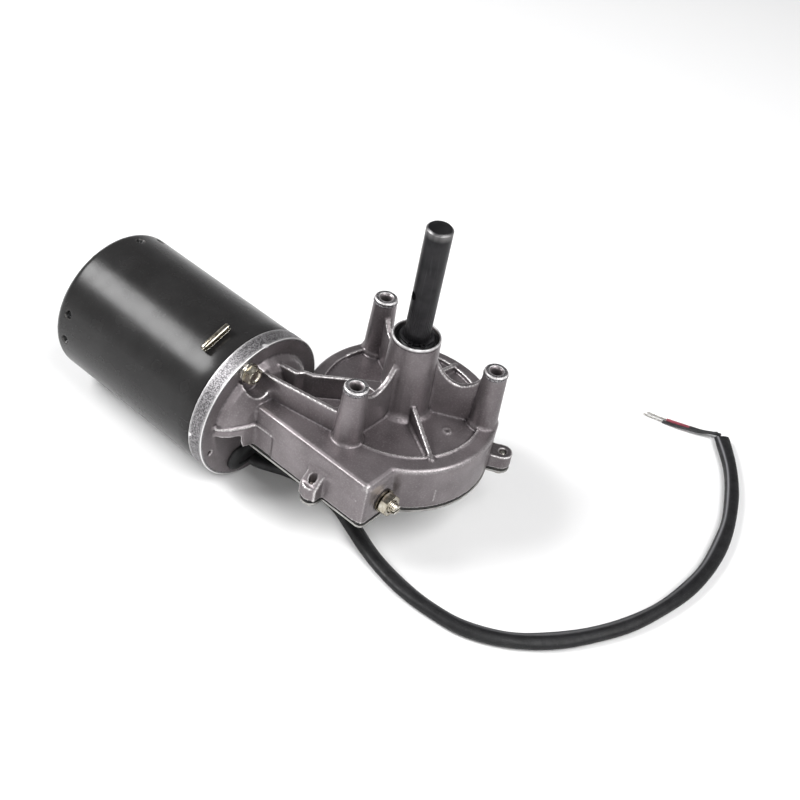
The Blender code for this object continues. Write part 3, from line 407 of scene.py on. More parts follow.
def oxide_look():
    """Blackened steel with fine scratches along the shaft, and a painted highlight in a pale metal colour along
    the edge of the shaft's end bevel.
    """
    look = Look("black_oxide", metallic=0.75)
    streak = look.grain(0.35, detail=3, stretch=(1, 1, 40))
    patch = look.grain(7, detail=4, offset=3.0)
    colour = look.tones(patch, (0.012, 0.0115, 0.013), (0.028, 0.027, 0.029), 0.35, 0.7)
    colour = look.mix(look.ramp(streak, 0, 0.5, 0.6, 0.8), colour, (0.075, 0.075, 0.08))
    # Painted highlight: pale metal along the edge of the shaft's end bevel, by each point's share.
    colour = look.mix(look.attribute("bare_and_highlight"), colour, (0.42, 0.41, 0.41))
    look.bump(streak, 0.008)
    look.bump(look.grain(0.5, detail=3, offset=8.0), 0.01)
    return look.finish(colour, look.ramp(patch, 0.34, 0.48, 0.3, 0.7))


def rubber_look():
    """Dull black moulded rubber."""
    look = Look("black_rubber", ior=1.4)
    colour = look.tones(look.grain(5, detail=4), BLACK, (0.011, 0.011, 0.012))
    look.bump(look.grain(0.35, detail=3, offset=1.0), 0.015)
    return look.finish(colour, look.ramp(look.grain(2, offset=4.0), 0.45, 0.6, 0.3, 0.7))


def sheath_look():
    """Soft woven-feel plastic sleeve with pale dust specks, and a painted highlight along the fold on its top.
    """
    look = Look("cord_sheath", ior=1.36)
    colour = look.tones(look.grain(6, detail=4), BLACK, (0.010, 0.010, 0.011), 0.35, 0.7)
    dust = look.ramp(look.grain(0.5, detail=3, offset=9.0), 0, 0.5, 0.58, 0.75)
    colour = look.mix(dust, colour, (0.05, 0.05, 0.053))
    # Painted highlight: a pale line along the fold on the sleeve's top, by each point's share.
    colour = look.mix(look.attribute("bare_and_highlight"), colour, (0.20, 0.20, 0.21))
    look.bump(look.grain(0.45, detail=3, offset=1.0), 0.03)
    look.bump(look.grain(6, detail=1, offset=2.0), 0.25)
    return look.finish(colour, look.ramp(look.grain(3, offset=4.0), 0.42, 0.6, 0.3, 0.7))


def plain_look(name, dark, pale, metallic, rough, size=3.0, depth=0.01, stretch=(1, 1, 1)):
    """The pattern that the inner pieces share: two tones, worn roughness and fine relief."""
    look = Look(name, metallic=metallic)
    grain = look.grain(size, detail=4, stretch=stretch)
    colour = look.tones(grain, dark, pale)
    look.bump(look.grain(size / 5, detail=3, stretch=stretch, offset=2.0), depth)
    return look.finish(colour, look.ramp(look.grain(size * 2, offset=5.0), *rough, 0.3, 0.7))


# Name, darker and paler tone, metallic, range of roughness, grain and relief in mm, and stretch.
PLAIN_LOOKS = {
    "steel": ("bright_steel", (0.42, 0.42, 0.43), (0.6, 0.6, 0.6), 1.0, (0.2, 0.34), 2.0, 0.004),
    "sheet": ("plated_sheet", (0.27, 0.265, 0.255), (0.42, 0.415, 0.40), 1.0, (0.3, 0.45), 5.0, 0.01),
    "bronze": ("sintered_bronze", (0.3, 0.19, 0.09), (0.5, 0.34, 0.17), 1.0, (0.4, 0.58), 0.6, 0.03),
    "nylon": ("white_nylon", (0.68, 0.65, 0.54), (0.82, 0.8, 0.72), 0.0, (0.35, 0.5), 7.0, 0.01),
    "copper": ("copper", (0.5, 0.17, 0.06), (0.78, 0.36, 0.18), 1.0, (0.25, 0.4), 1.2, 0.05),
    "iron": ("silicon_iron", (0.2, 0.2, 0.21), (0.36, 0.36, 0.37), 1.0, (0.4, 0.55), 0.5, 0.03, (0.8, 30, 30)),
    "ferrite": ("ferrite", (0.035, 0.035, 0.04), (0.07, 0.07, 0.075), 0.0, (0.6, 0.8), 2.0, 0.03),
    "board": ("phenolic_board", (0.16, 0.07, 0.03), (0.3, 0.15, 0.07), 0.0, (0.45, 0.6), 4.0, 0.01),
    "carbon": ("carbon", (0.02, 0.02, 0.02), (0.05, 0.05, 0.05), 0.2, (0.45, 0.6), 0.7, 0.02),
    "paper": ("gasket_paper", (0.02, 0.02, 0.02), (0.05, 0.048, 0.045), 0.0, (0.7, 0.85), 1.5, 0.03),
    "brass": ("brass", (0.5, 0.33, 0.11), (0.75, 0.56, 0.25), 1.0, (0.25, 0.4), 3.0, 0.008),
    "tin": ("tinned_copper", (0.55, 0.53, 0.5), (0.78, 0.77, 0.74), 1.0, (0.2, 0.35), 0.8, 0.01),
    "red": ("red_insulation", (0.15, 0.018, 0.032), (0.27, 0.05, 0.07), 0.0, (0.35, 0.5), 2.5, 0.01),
    "black": ("black_insulation", (0.006, 0.006, 0.0065), (0.015, 0.015, 0.016), 0.0, (0.35, 0.5), 2.5, 0.01),
}


def all_looks():
    """Every material, by the short name that the pieces use."""
    flange_middle = MOTOR + Vector((FLANGE_X[0], 0, 0))
    looks = {
        "cast": cast_look(),
        "flange": machined_look("machined_flange", flange_middle, "X"),
        "machined": machined_look("machined_face", CASE, "Z"),
        "paint": paint_look(),
        "zinc": zinc_look(),
        "oxide": oxide_look(),
        "rubber": rubber_look(),
        "sheath": sheath_look(),
    }
    looks.update({short: plain_look(*values) for short, values in PLAIN_LOOKS.items()})
    return looks


# ---- mesh building ----
def mesh_piece(name, points, faces, look, slot=None, body="housing", crease=CREASE, shown=None):
    """A piece from points in mm in the world, smooth except at creases, that rides on a CAD body.

    shown gives, point by point, a share for the surface: metal showing in the can's dimples, and a painted
    highlight on machined rims, the shaft's bevel and the sleeve's fold. The slot argument is worked out but not
    used.
    """
    slot = slot or look.name.partition(".")[0]
    mesh = bpy.data.meshes.new(name)
    mesh.from_pydata([Vector(p) * MM for p in points], [], faces)
    mesh.materials.append(look)
    mesh.shade_smooth()
    mesh.set_sharp_from_angle(angle=math.radians(crease))
    made = add(name, mesh)
    if shown:
        bare_and_highlight = mesh.attributes.new("bare_and_highlight", "FLOAT", "POINT")
        bare_and_highlight.data.foreach_set("value", shown)
    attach(made, body)
    return made


def soften(profile, radius, steps=3):
    """The outline with each inner corner rounded by a short curve."""
    made = [profile[0]]
    for before, corner, after in zip(profile, profile[1:], profile[2:]):
        b, c, a = Vector(before), Vector(corner), Vector(after)
        reach = min(radius, 0.42 * (b - c).length, 0.42 * (a - c).length)
        start, end = c + (b - c).normalized() * reach, c + (a - c).normalized() * reach
        for step in range(steps + 1):
            t = step / steps
            made.append(tuple((1 - t) ** 2 * start + 2 * t * (1 - t) * c + t**2 * end))
    made.append(profile[-1])
    return made


def fine(profile, spacing):
    """The outline with its longer runs split up."""
    made = []
    for a, b in zip(profile, profile[1:]):
        a, b = Vector(a), Vector(b)
        count = max(1, round((b - a).length / spacing))
        made += [tuple(a.lerp(b, i / count)) for i in range(count)]
    return made + [tuple(profile[-1])]


def spin(profile, centre, axis, angles, bend=None, closed=False):
    """Points and faces of a profile of (along the axis, radius) turned round an axis.

    angles is a number of even steps or a list of degrees. bend(along, degrees, radius) gives the new radius.
    """
    along, across, up = DIRECTIONS[axis]
    centre = Vector(centre)
    if isinstance(angles, int):
        angles = [360 * i / angles for i in range(angles)]
    points, rings = [], []
    for position, radius in profile:
        if radius < 1e-6:
            rings.append([len(points)])
            points.append(centre + along * position)
            continue
        rings.append(list(range(len(points), len(points) + len(angles))))
        for degrees in angles:
            here = bend(position, degrees, radius) if bend else radius
            turn = math.radians(degrees)
            radial = across * math.cos(turn) + up * math.sin(turn)
            points.append(centre + along * position + radial * here)
    faces = []
    pairs = list(zip(rings, rings[1:]))
    if closed:
        pairs.append((rings[-1], rings[0]))
    for here, there in pairs:
        for step in range(len(angles)):
            after = (step + 1) % len(angles)
            corners = [here[step % len(here)], there[step % len(there)]]
            corners += [there[after % len(there)], here[after % len(here)]]
            corners = list(dict.fromkeys(corners))
            if len(corners) > 2:
                faces.append(corners)
    return points, faces


def skin(count, rings, flip=False):
    """Faces between rings of count points each, with one over each end; flip turns them the other way."""
    faces = []
    for base in range(0, count * (rings - 1), count):
        for i in range(count):
            after = (i + 1) % count
            across, over, back = base + after, base + count + after, base + count + i
            faces.append([base + i, back, over, across] if flip else [base + i, across, over, back])
    first, last = list(range(count)), list(range(count * (rings - 1), count * rings))
    return faces + ([first, last[::-1]] if flip else [first[::-1], last])


def polar(radius, degrees):
    return radius * math.cos(math.radians(degrees)), radius * math.sin(math.radians(degrees))


def hexagon_at(across_flats, turn):
    """The radius of a hexagon's side at an angle, for spin()."""

    def radius_at(degrees):
        inside = (degrees - turn) % 60 - 30
        return across_flats / 2 / math.cos(math.radians(inside))

    return radius_at


def thread(pitch, depth, low, high):
    """A bend() that cuts a right-hand V thread between two positions, fading out at both ends."""

    def cut(position, degrees, radius):
        if not low <= position <= high:
            return radius
        fade = min(1.0, (position - low) / pitch, (high - position) / pitch)
        phase = (position / pitch - degrees / 360) % 1.0
        return radius - depth * fade * abs(2 * phase - 1)

    return cut


def join(first, *others):
    """Several (points, faces) as one."""
    points, faces = list(first[0]), list(first[1])
    for more_points, more_faces in others:
        base = len(points)
        points += more_points
        faces += [[base + i for i in face] for face in more_faces]
    return points, faces


# ---- gear case ----
def plate(outline, low, high):
    """A flat plate with this outline between two heights, in the case frame."""
    count = len(outline)
    points = [CASE + Vector((x, y, z)) for z in (low, high) for x, y in outline]
    faces = [list(range(count))[::-1], list(range(count, 2 * count))]
    faces += [[i, (i + 1) % count, count + (i + 1) % count, count + i] for i in range(count)]
    return points, faces


def bead(start, end, half, low, high):
    """A straight raised line."""
    a, b = Vector(start), Vector(end)
    side = (b - a).normalized().orthogonal() * half
    return plate([tuple(a - side), tuple(b - side), tuple(b + side), tuple(a + side)], low, high)


def sector(inner, outer, start, end, steps=60):
    """Outline of part of a flat ring round the output axis, between two angles."""
    angles = [start + (end - start) * i / steps for i in range(steps + 1)]
    return [polar(outer, a) for a in angles] + [polar(inner, a) for a in reversed(angles)]


def cast_details():
    """Small raised parts: the ledge under the casting's bell, thin lines, and marks on its wall and floor."""
    ledge_z = WORM_Z + 4.2
    ledge = [(-49.8, -54.0), (-49.8, -74.2), (-48.0, -73.9), (-45.6, -72.2), (-42.6, -68.4), (-39.6, -62.0)]
    ledge += [(-38.0, -57.5), (-28.5, -57.1), (-28.5, -54.0)]
    shapes = [plate(ledge, ledge_z, ledge_z + 1.3)]
    floor_z = POCKET_FLOOR - 0.6
    for start, end in POCKET_LINES:
        shapes.append(bead(start, end, 0.5, floor_z, POCKET_FLOOR + 0.7))
    shapes.append(plate(sector(*POCKET_RIM_R, *POCKET_RIM_ANGLES), floor_z, CASE_TOP + 0.75))
    shapes.append(plate(sector(*WALL_MARK_R, *WALL_MARK_ANGLES, 2), *WALL_MARK_Z))
    mark = [(floor_z, 1.2), (floor_z, 2.2), (POCKET_FLOOR + 0.6, 2.1), (POCKET_FLOOR + 0.6, 1.3)]
    shapes.append(spin(mark, CASE + Vector((26.3, 1.6, 0)), "Z", 24, closed=True))
    return join(*shapes)


def casting(looks):
    """The casting's own CAD surface with its details, remeshed evenly so that smoothing rounds its edges."""
    node = frame["nodes"]["gear_housing"].data
    base = [v.co / MM for v in node.vertices], [list(p.vertices) for p in node.polygons]
    points, faces = join(base, cast_details())
    mesh = bpy.data.meshes.new("casting")
    mesh.from_pydata([Vector(p) * MM for p in points], [], faces)
    made = add("casting", mesh)
    even = made.modifiers.new("even", "REMESH")
    even.mode = "VOXEL"
    even.voxel_size = CASTING_GRID * MM
    soft = made.modifiers.new("soft", "SMOOTH")
    soft.factor, soft.iterations = 0.5, 4
    thin = made.modifiers.new("thin", "DECIMATE")
    thin.ratio = CASTING_SHARE
    shape = bpy.data.meshes.new_from_object(made.evaluated_get(bpy.context.evaluated_depsgraph_get()))
    made.modifiers.clear()
    made.data = shape
    shape.name = "casting"
    shape.materials.clear()
    shape.materials.append(looks["cast"])
    shape.shade_smooth()
    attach(made, "housing")
    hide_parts("gear_housing")


def machined_faces(looks):
    """Turned rings over the flange's rim, the lip round the seal and the faced post tops."""
    rear, front = FLANGE_X
    rim = [(front, 35.9), (front, FLANGE_R), (rear, FLANGE_R), (rear, 34.6)]
    profile = fine(soften([(front - 0.5, 35.0), *rim, (rear + 0.5, 34.6)], 0.45), 2.0)
    shape = spin(profile, MOTOR, "X", 160, closed=True)
    mesh_piece("flange_rim", *shape, looks["flange"], "cast_aluminium")
    lip = [(BOSS_TOP - 6, BOSS_R - 0.1), (BOSS_TOP - 1, BOSS_R), (BOSS_TOP, BOSS_R - 0.45), (BOSS_TOP, 10.5)]
    lip += [(BOSS_TOP - 0.5, 10.42), (BOSS_TOP - 3, 10.42), (BOSS_TOP - 6, 10.6)]
    shape = spin(soften(lip, 0.25), CASE, "Z", 96, closed=True)
    # Each point's share of the painted highlight on the lip's sharp rims.
    bare_and_highlight = [rim_highlight(Vector(p) - CASE, BOSS_TOP, (BOSS_R - 0.3, 10.5)) for p in shape[0]]
    mesh_piece("seal_lip", *shape, looks["cast"], "cast_aluminium", shown=bare_and_highlight)
    for number, degrees in enumerate(POST_ANGLES, 1):
        centre = CASE + Vector((*polar(POST_PITCH_R, degrees), 0))
        top = [(POST_TOP - 2.2, POST_R + 0.02), (POST_TOP - 0.7, POST_R), (POST_TOP, POST_R - 0.7)]
        top += [(POST_TOP, 3.5), (POST_TOP - 1.0, 2.75)]
        bore = fine([top[-1], (POST_TOP - 9, 2.75)], 0.12)
        profile = soften(fine(top, 0.35), 0.15) + bore[1:] + [(POST_TOP - 9, 3.4)]
        cut = thread(1.0, -0.28, POST_TOP - 8.8, POST_TOP - 1.0)
        shape = spin(profile, centre, "Z", 60, bend=cut, closed=True)
        # Each point's share of the painted highlight on the post top's sharp rims.
        bare_and_highlight = [rim_highlight(Vector(p) - centre, POST_TOP, (POST_R - 0.3, 3.4)) for p in shape[0]]
        mesh_piece(f"post_face_{number}", *shape, looks["machined"], "cast_aluminium", shown=bare_and_highlight)


def rim_highlight(place, top, radii):
    """How much painted highlight a machined top gets: 1 on its sharp rims, at these radii, and less away from
    them or where dull.
    """
    radius = math.hypot(place.x, place.y)
    near = max(math.exp(-(((radius - r) / 0.28) ** 2)) for r in radii) * smooth(1.3, 0.5, top - place.z)
    return near * min(1.0, 0.75 + 0.5 * noise.noise(place * 0.5))


# ---- motor can ----
def can(looks):
    """The painted can, with a finer grid of points where the dimples are pressed in."""
    rear, front, cup = CAN_REAR, FLANGE_X[0] - GAP, CAN_REAR - CAN_CUP
    corner = [(rear + 4 - polar(4, a)[0], CAN_R - 4 + polar(4, a)[1]) for a in range(0, 91, 10)]
    outer = [(cup, 0), (cup, 9.6), (cup + 0.3, 10.3), (cup + 1.1, 10.9), (rear - 0.4, 11.6), (rear, 13.0)]
    outer += corner
    outer += [(DIMPLE_X + 0.33 * step, CAN_R) for step in range(-9, 10)]
    outer += [(x, CAN_R) for x in (-138, -120, -100, -80, -65)]
    outer += [(front - 0.5, CAN_R), (front - 0.1, CAN_R - 0.15), (front, CAN_R - 0.5)]
    inner = [(front, CAN_R - CAN_WALL), (rear + CAN_WALL + 2, CAN_R - CAN_WALL)]
    inner += [(rear + CAN_WALL, CAN_R - CAN_WALL - 2), (rear + CAN_WALL, 8.3)]
    inner += [(cup + 1.7, 8.3), (cup + 1.7, 0)]
    around = {float(a) for a in range(0, 360, 3)}
    for middle in DIMPLE_ANGLES:
        around |= {round(middle + 0.45 * step, 2) for step in range(-9, 10)}
    around = sorted(a % 360 for a in around)

    def pressed(position, degrees, radius):
        return radius - dimple_depth(position, degrees, radius)

    points, faces = spin(outer + inner, MOTOR, "X", around, bend=pressed)
    bare_and_highlight = []
    for point in points:
        place = Vector(point) - MOTOR
        degrees = math.degrees(math.atan2(place.z, place.y))
        depth = dimple_depth(place.x, degrees, math.hypot(place.y, place.z) + 1.0)
        bare_and_highlight.append(0.45 * math.exp(-(((depth - 0.3) / 0.2) ** 2)))
    made = mesh_piece("can_shell", points, faces, looks["paint"], shown=bare_and_highlight)
    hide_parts("motor_can")


def dimple_depth(position, degrees, radius):
    """How far a staking dimple is pressed in at this place on the can."""
    if radius < CAN_R - 1.5:
        return 0.0
    for middle in DIMPLE_ANGLES:
        side = math.radians((degrees - middle + 180) % 360 - 180) * CAN_R
        away = math.hypot(position - DIMPLE_X, side)
        if away < 3.0:
            return 1.9 * (1 - smooth(1.2, 2.5, away))
    return 0.0


def smooth(low, high, value):
    t = min(1.0, max(0.0, (value - low) / (high - low)))
    return t * t * (3 - 2 * t)


# ---- fasteners ----
def through_bolts(looks):
    """Long bolts with flanged hexagon heads, dished on top, over split lock washers."""
    seat = FLANGE_X[1] - 0.4
    side = hexagon_at(8.0, 20)
    for number, degrees in enumerate(BOLT_ANGLES, 1):
        centre = MOTOR + Vector((0, *polar(BOLT_CIRCLE, degrees)))
        low = seat + GAP + 1.2 + GAP
        rim, top = low + 0.9, low + 4.6
        head = [(low, 2.4), (low, 4.75), (low + 0.25, 4.9), (rim, 4.9), (rim + 0.15, 4.5), (rim + 0.25, 5.2)]
        head += [(top - 0.75, 5.2), (top, 3.9), (top, 2.75), (top - 0.25, 2.5), (top - 0.75, 2.2)]
        head += [(top - 0.75, 0)]

        def six_sided(position, angle, radius):
            return min(radius, side(angle)) if rim + 0.2 < position <= top + 0.01 else radius

        shank = [(CAN_REAR - 1.5, 0), (CAN_REAR - 1.5, 1.9), (CAN_REAR - 0.8, 2.35), (CAN_REAR + 10, 2.35)]
        profile = soften(shank + [(low, 2.35)], 0.2, 2) + fine(soften(head[1:], 0.14, 2), 0.4)
        made = mesh_piece(f"bolt_{number}", *spin(profile, centre, "X", 72, bend=six_sided), looks["zinc"])
        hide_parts(f"through_bolt_{number}")
        washer = split_washer(centre, seat + GAP, 2.75, 4.6, 1.2, degrees + 150)
        made = mesh_piece(f"split_washer_{number}", *washer, looks["zinc"])
        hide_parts(f"lock_washer_{number}")


def split_washer(centre, low, inner, outer, thick, gap_angle):
    """A lock washer with a narrow slanting gap."""
    corners = soften([(0, inner), (0, outer), (thick, outer), (thick, inner), (0, inner)], 0.12, 1)[1:-1]
    steps, points = 48, []
    for step in range(steps + 1):
        for along, radius in corners:
            turn = math.radians(gap_angle + 5 + 350 * step / steps + 6 * (along / thick - 0.5))
            points.append(centre + Vector((low + along, radius * math.cos(turn), radius * math.sin(turn))))
    return points, skin(len(corners), steps + 1, flip=True)


def end_play_screw(looks):
    """Slotted grub screw, its lock nut and a washer."""
    under = BOX_END + 0.3 + GAP
    over = under + 1.0
    washer = soften([(under + 0.5, 3.3), (under, 3.3), (under, 5.8), (over, 5.8)], 0.15)
    washer += soften([(over, 5.0), (over, 3.3), (under + 0.6, 3.3)], 0.15)
    made = mesh_piece("play_washer", *spin(washer, MOTOR, "X", 72, closed=True), looks["zinc"])
    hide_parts("adjusting_washer")

    low = over + GAP
    high = low + 4.2
    side = hexagon_at(10.0, 12)
    nut = [(low + 0.7, 3.1), (low, 3.5), (low, 4.9), (low + 0.5, 5.9), (high - 0.5, 5.9), (high, 4.9)]
    nut += [(high, 3.5), (high - 0.7, 3.1)]
    profile = fine(soften(nut, 0.1, 2), 0.3)

    def six_sided(position, angle, radius):
        return min(radius, side(angle)) if radius > 3.6 else radius

    shape = spin(profile, MOTOR, "X", 72, bend=six_sided, closed=True)
    made = mesh_piece("play_nut", *shape, looks["zinc"])
    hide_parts("adjusting_nut")

    shank = [(25.1, 0), (25.1, 2.8), (SCREW_TIP - 0.7, 2.8), (SCREW_TIP, 2.2), (SCREW_TIP, 0)]
    profile = fine(shank[:2], 1.0)[:-1] + fine(shank[1:3], 0.11)[:-1] + fine(shank[2:], 0.3)
    shape = spin(profile, MOTOR, "X", 60, bend=thread(1.0, 0.35, 25.2, SCREW_TIP - 0.2))
    made = mesh_piece("play_screw", *shape, looks["zinc"])
    slot_cut(made, MOTOR + Vector((SCREW_TIP, 0, 0)), (1.5, 3.6, 0.5), Matrix.Identity(3))
    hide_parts("adjusting_screw")


def slot_cut(piece, centre, half, turn):
    """Cuts a straight slot, given by its half sizes in mm, into a piece."""
    corners = [Vector(corner) for corner in product(*((-size, size) for size in half))]
    sides = [(0, 1, 3, 2), (4, 6, 7, 5), (0, 4, 5, 1), (2, 3, 7, 6), (0, 2, 6, 4), (1, 5, 7, 3)]
    cut_away(piece, [centre + turn @ c for c in corners], sides)


def cut_away(piece, points, faces):
    """Takes a closed shape, in mm in the world, out of the piece for good."""
    mesh = bpy.data.meshes.new("tool")
    mesh.from_pydata([p * MM for p in points], [], faces)
    tool = add("tool", mesh)
    cut = piece.modifiers.new("cut", "BOOLEAN")
    cut.operation, cut.solver, cut.object = "DIFFERENCE", "EXACT", tool
    shape = bpy.data.meshes.new_from_object(piece.evaluated_get(bpy.context.evaluated_depsgraph_get()))
    piece.modifiers.clear()
    piece.data = shape
    shape.set_sharp_from_angle(angle=math.radians(CREASE))
    bpy.data.objects.remove(tool, do_unlink=True)


def cover_screws(looks):
    """Pan-head screws with a slot, their thread ends showing in the lugs."""
    for number, (degrees, distance) in enumerate(LUGS, 1):
        centre = CASE + Vector((*polar(distance, degrees), 0))
        head, tip = -GAP, LUG_TOP - 0.8
        dome = [(head - 2.2, 0), (head - 2.2, 1.6), (head - 2.05, 2.6), (head - 1.5, 3.3), (head - 0.6, 3.65)]
        dome += [(head, 3.7), (head, 1.75)]
        shank = fine([(head, 1.75), (tip - 0.6, 1.75)], 0.12)[1:] + [(tip, 1.1), (tip, 0)]
        cut = thread(0.7, 0.22, head + 0.3, tip - 0.3)
        profile = soften(dome, 0.2, 2)[:-1] + shank
        made = mesh_piece(f"pan_screw_{number}", *spin(profile, centre, "Z", 40, bend=cut), looks["zinc"])
        turn = Matrix.Rotation(math.radians(37 * number), 3, "Z")
        slot_cut(made, centre + Vector((0, 0, head - 2.3)), (4.2, 0.45, 0.95), turn)
        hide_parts(f"cover_screw_{number}")


# ---- output shaft ----
def output_shaft(looks):
    """Blackened shaft with a cross hole, a bevelled end and fine splines between the hole and the seal."""
    profile = [(-0.3, 0), (-0.3, 4.6), (0.1, 5.0), (5.4, 5.0), (5.4, SHAFT_R), (CIRCLIP_Z - 0.1, SHAFT_R)]
    profile += [(CIRCLIP_Z - 0.1, 5.5), (CIRCLIP_Z + 1.1, 5.5), (CIRCLIP_Z + 1.1, SHAFT_R), (84.0, SHAFT_R)]
    profile += [(92.0, SHAFT_R), (SHAFT_TOP - SHAFT_BEVEL, SHAFT_R)]
    profile += [(SHAFT_TOP - 0.05, SHAFT_R - 0.95), (SHAFT_TOP, 0)]
    profile = fine(soften(profile, 0.12, 2), 3.0)

    def splined(position, degrees, radius):
        inside = smooth(66.2, 67.0, position) * (1 - smooth(81.0, 83.0, position))
        groove = abs(((degrees / 10) % 1.0) * 2 - 1)
        return radius - 0.16 * inside * smooth(0.35, 0.9, groove)

    points, faces = spin(profile, CASE, "Z", 144, bend=splined)
    # Each point's share of the painted highlight along the bevel's edge.
    bare_and_highlight = [shaft_bevel_highlight(Vector(p) - CASE) for p in points]
    made = mesh_piece("drive_shaft", points, faces, looks["oxide"], body="output", shown=bare_and_highlight)
    points, faces = spin([(-9, 0), (-9, PIN_R + 0.1), (9, PIN_R + 0.1), (9, 0)], (0, 0, 0), "X", 40)
    turn = Matrix.Rotation(math.radians(CROSS_HOLE_ANGLE), 3, "Z")
    middle = CASE + Vector((0, 0, CROSS_HOLE_Z))
    cut_away(made, [middle + turn @ p for p in points], [f[::-1] for f in faces])
    slot_cut(made, CASE + Vector((5.8, 0, 13.0)), (2.2, 2.1, 6.4), Matrix.Identity(3))
    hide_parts("output_shaft")


def shaft_bevel_highlight(place):
    """How much painted highlight a place on the shaft gets: along the edge of the end's bevel."""
    outside = math.hypot(place.x, place.y) > SHAFT_R - 0.3
    edge = 1 - smooth(0.02, 0.22, abs(place.z - (SHAFT_TOP - SHAFT_BEVEL)) if outside else 1)
    patch = noise.noise(place * 0.6) * 0.5 + 0.5
    return edge * (0.25 + 0.75 * patch)


def seal_and_circlip(looks):
    """Rubber shaft seal with its lips, and the retaining ring above it."""
    lip = SHAFT_R + 0.12
    profile = [(61.5, lip + 0.6), (58.3, lip + 0.6), (58.3, 10.2), (64.2, 10.2), (64.2, 9.3), (63.4, 8.8)]
    profile += [(63.4, 7.6), (64.0, 7.2), (64.0, lip + 0.5), (63.0, lip), (61.5, lip + 0.3)]
    shape = spin(soften(profile, 0.3), CASE, "Z", 96, closed=True)
    made = mesh_piece("shaft_seal", *shape, looks["rubber"])
    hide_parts("oil_seal")
    made = mesh_piece("retaining_ring", *retaining_ring(), looks["oxide"], body="output")
    bevel(made, 0.12)
    for side in (-1, 1):
        x, y = polar(7.5, RING_GAP + side * RING_EYE)
        eye = CASE + Vector((x, y, CIRCLIP_Z))
        points, faces = spin([(-1, 0), (-1, 0.8), (2, 0.8), (2, 0)], eye, "Z", 24)
        cut_away(made, points, [f[::-1] for f in faces])
    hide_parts("shaft_circlip")


def retaining_ring():
    """An external retaining ring, thicker opposite its gap, with an eye at each end."""
    outer, inner = [], []
    for step in range(61):
        degrees = RING_GAP + 16 + 328 * step / 60
        from_gap = min(degrees - RING_GAP, 360 + RING_GAP - degrees)
        eye = math.exp(-(((from_gap - RING_EYE) / 9) ** 2)) * 1.35
        outer.append(polar(8.0 - 0.5 * smooth(90, 20, from_gap) + eye, degrees))
        inner.append(polar(5.65, degrees))
    return plate(outer + inner[::-1], CIRCLIP_Z, CIRCLIP_Z + 0.9)


def bevel(piece, width, angle=40):
    """Rounds the edges sharper than angle degrees, width mm across."""
    rounding = piece.modifiers.new("edges", "BEVEL")
    rounding.width = width * MM
    rounding.segments = 2
    rounding.limit_method = "ANGLE"
    rounding.angle_limit = math.radians(angle)
    rounding.harden_normals = True


# ---- spring pin ----
def spring_pin(looks):
    """A rolled, slotted pin with bevelled ends, lying on the can."""
    half, wall, bevelled = PIN_LENGTH / 2, 0.55, 0.9
    sections = [(-half, 1 - 0.14), (-half + 0.3, 1 - 0.10), (-half + bevelled, 1.0)]
    sections += [(half - bevelled, 1.0), (half - 0.3, 1 - 0.10), (half, 1 - 0.14)]
    angles = [22 + 316 * i / 40 for i in range(41)]
    outline = [polar(PIN_R, a) for a in angles] + [polar(PIN_R - wall, a) for a in reversed(angles)]
    around = math.radians(PIN_ANGLE)
    radial = Vector((0, math.cos(around), math.sin(around)))
    tangent = Vector((0, -math.sin(around), math.cos(around)))
    middle = MOTOR + Vector((PIN_X, 0, 0)) + radial * (CAN_R + PIN_R + 0.15)
    turn = Matrix((tangent, tangent.cross(radial), radial)).transposed()
    turn = turn @ Matrix.Rotation(math.radians(150), 3, "X")
    places = [(along, x * size, y * size) for along, size in sections for x, y in outline]
    points = [middle + turn @ Vector(place) for place in places]
    faces = skin(len(outline), len(sections), flip=True)
    made = mesh_piece("roll_pin", points, faces, looks["zinc"])
    bevel(made, 0.08)
    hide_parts("spring_pin")


# ---- brush springs ----
def brush_springs(looks):
    """Coil springs behind the brushes, built at rest in the place and size of the CAD springs."""
    for number, joint, outwards in ((1, "brush_upper_slide", 1), (2, "brush_lower_slide", -1)):
        low, high = (Vector(corner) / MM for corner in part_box(f"brush_spring_{number}"))
        length, reach, wire = high.z - low.z, (high.x - low.x) / 2, 0.3
        middle = (low + high) / 2
        line = []
        for step in range(241):
            share = step / 240
            turn = 2 * math.pi * SPRING_TURNS * share
            x, y = (reach - wire) * math.cos(turn), (reach - wire) * math.sin(turn)
            line.append(Vector((middle.x + x, middle.y + y, low.z + wire + (length - 2 * wire) * share)))
        shape = coil(line, middle, wire)
        made = mesh_piece(f"coil_spring_{number}", *shape, looks["steel"])
        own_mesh(made)
        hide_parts(f"brush_spring_{number}")


def coil(line, middle, wire):
    """Round wire along a helix, its section kept square to the helix's own axis."""
    points = []
    for here in line:
        radial = Vector((here.x - middle.x, here.y - middle.y, 0)).normalized()
        for i in range(8):
            a, b = polar(wire, 45 * i)
            points.append(here + radial * a + Vector((0, 0, b)))
    return points, skin(8, len(line))


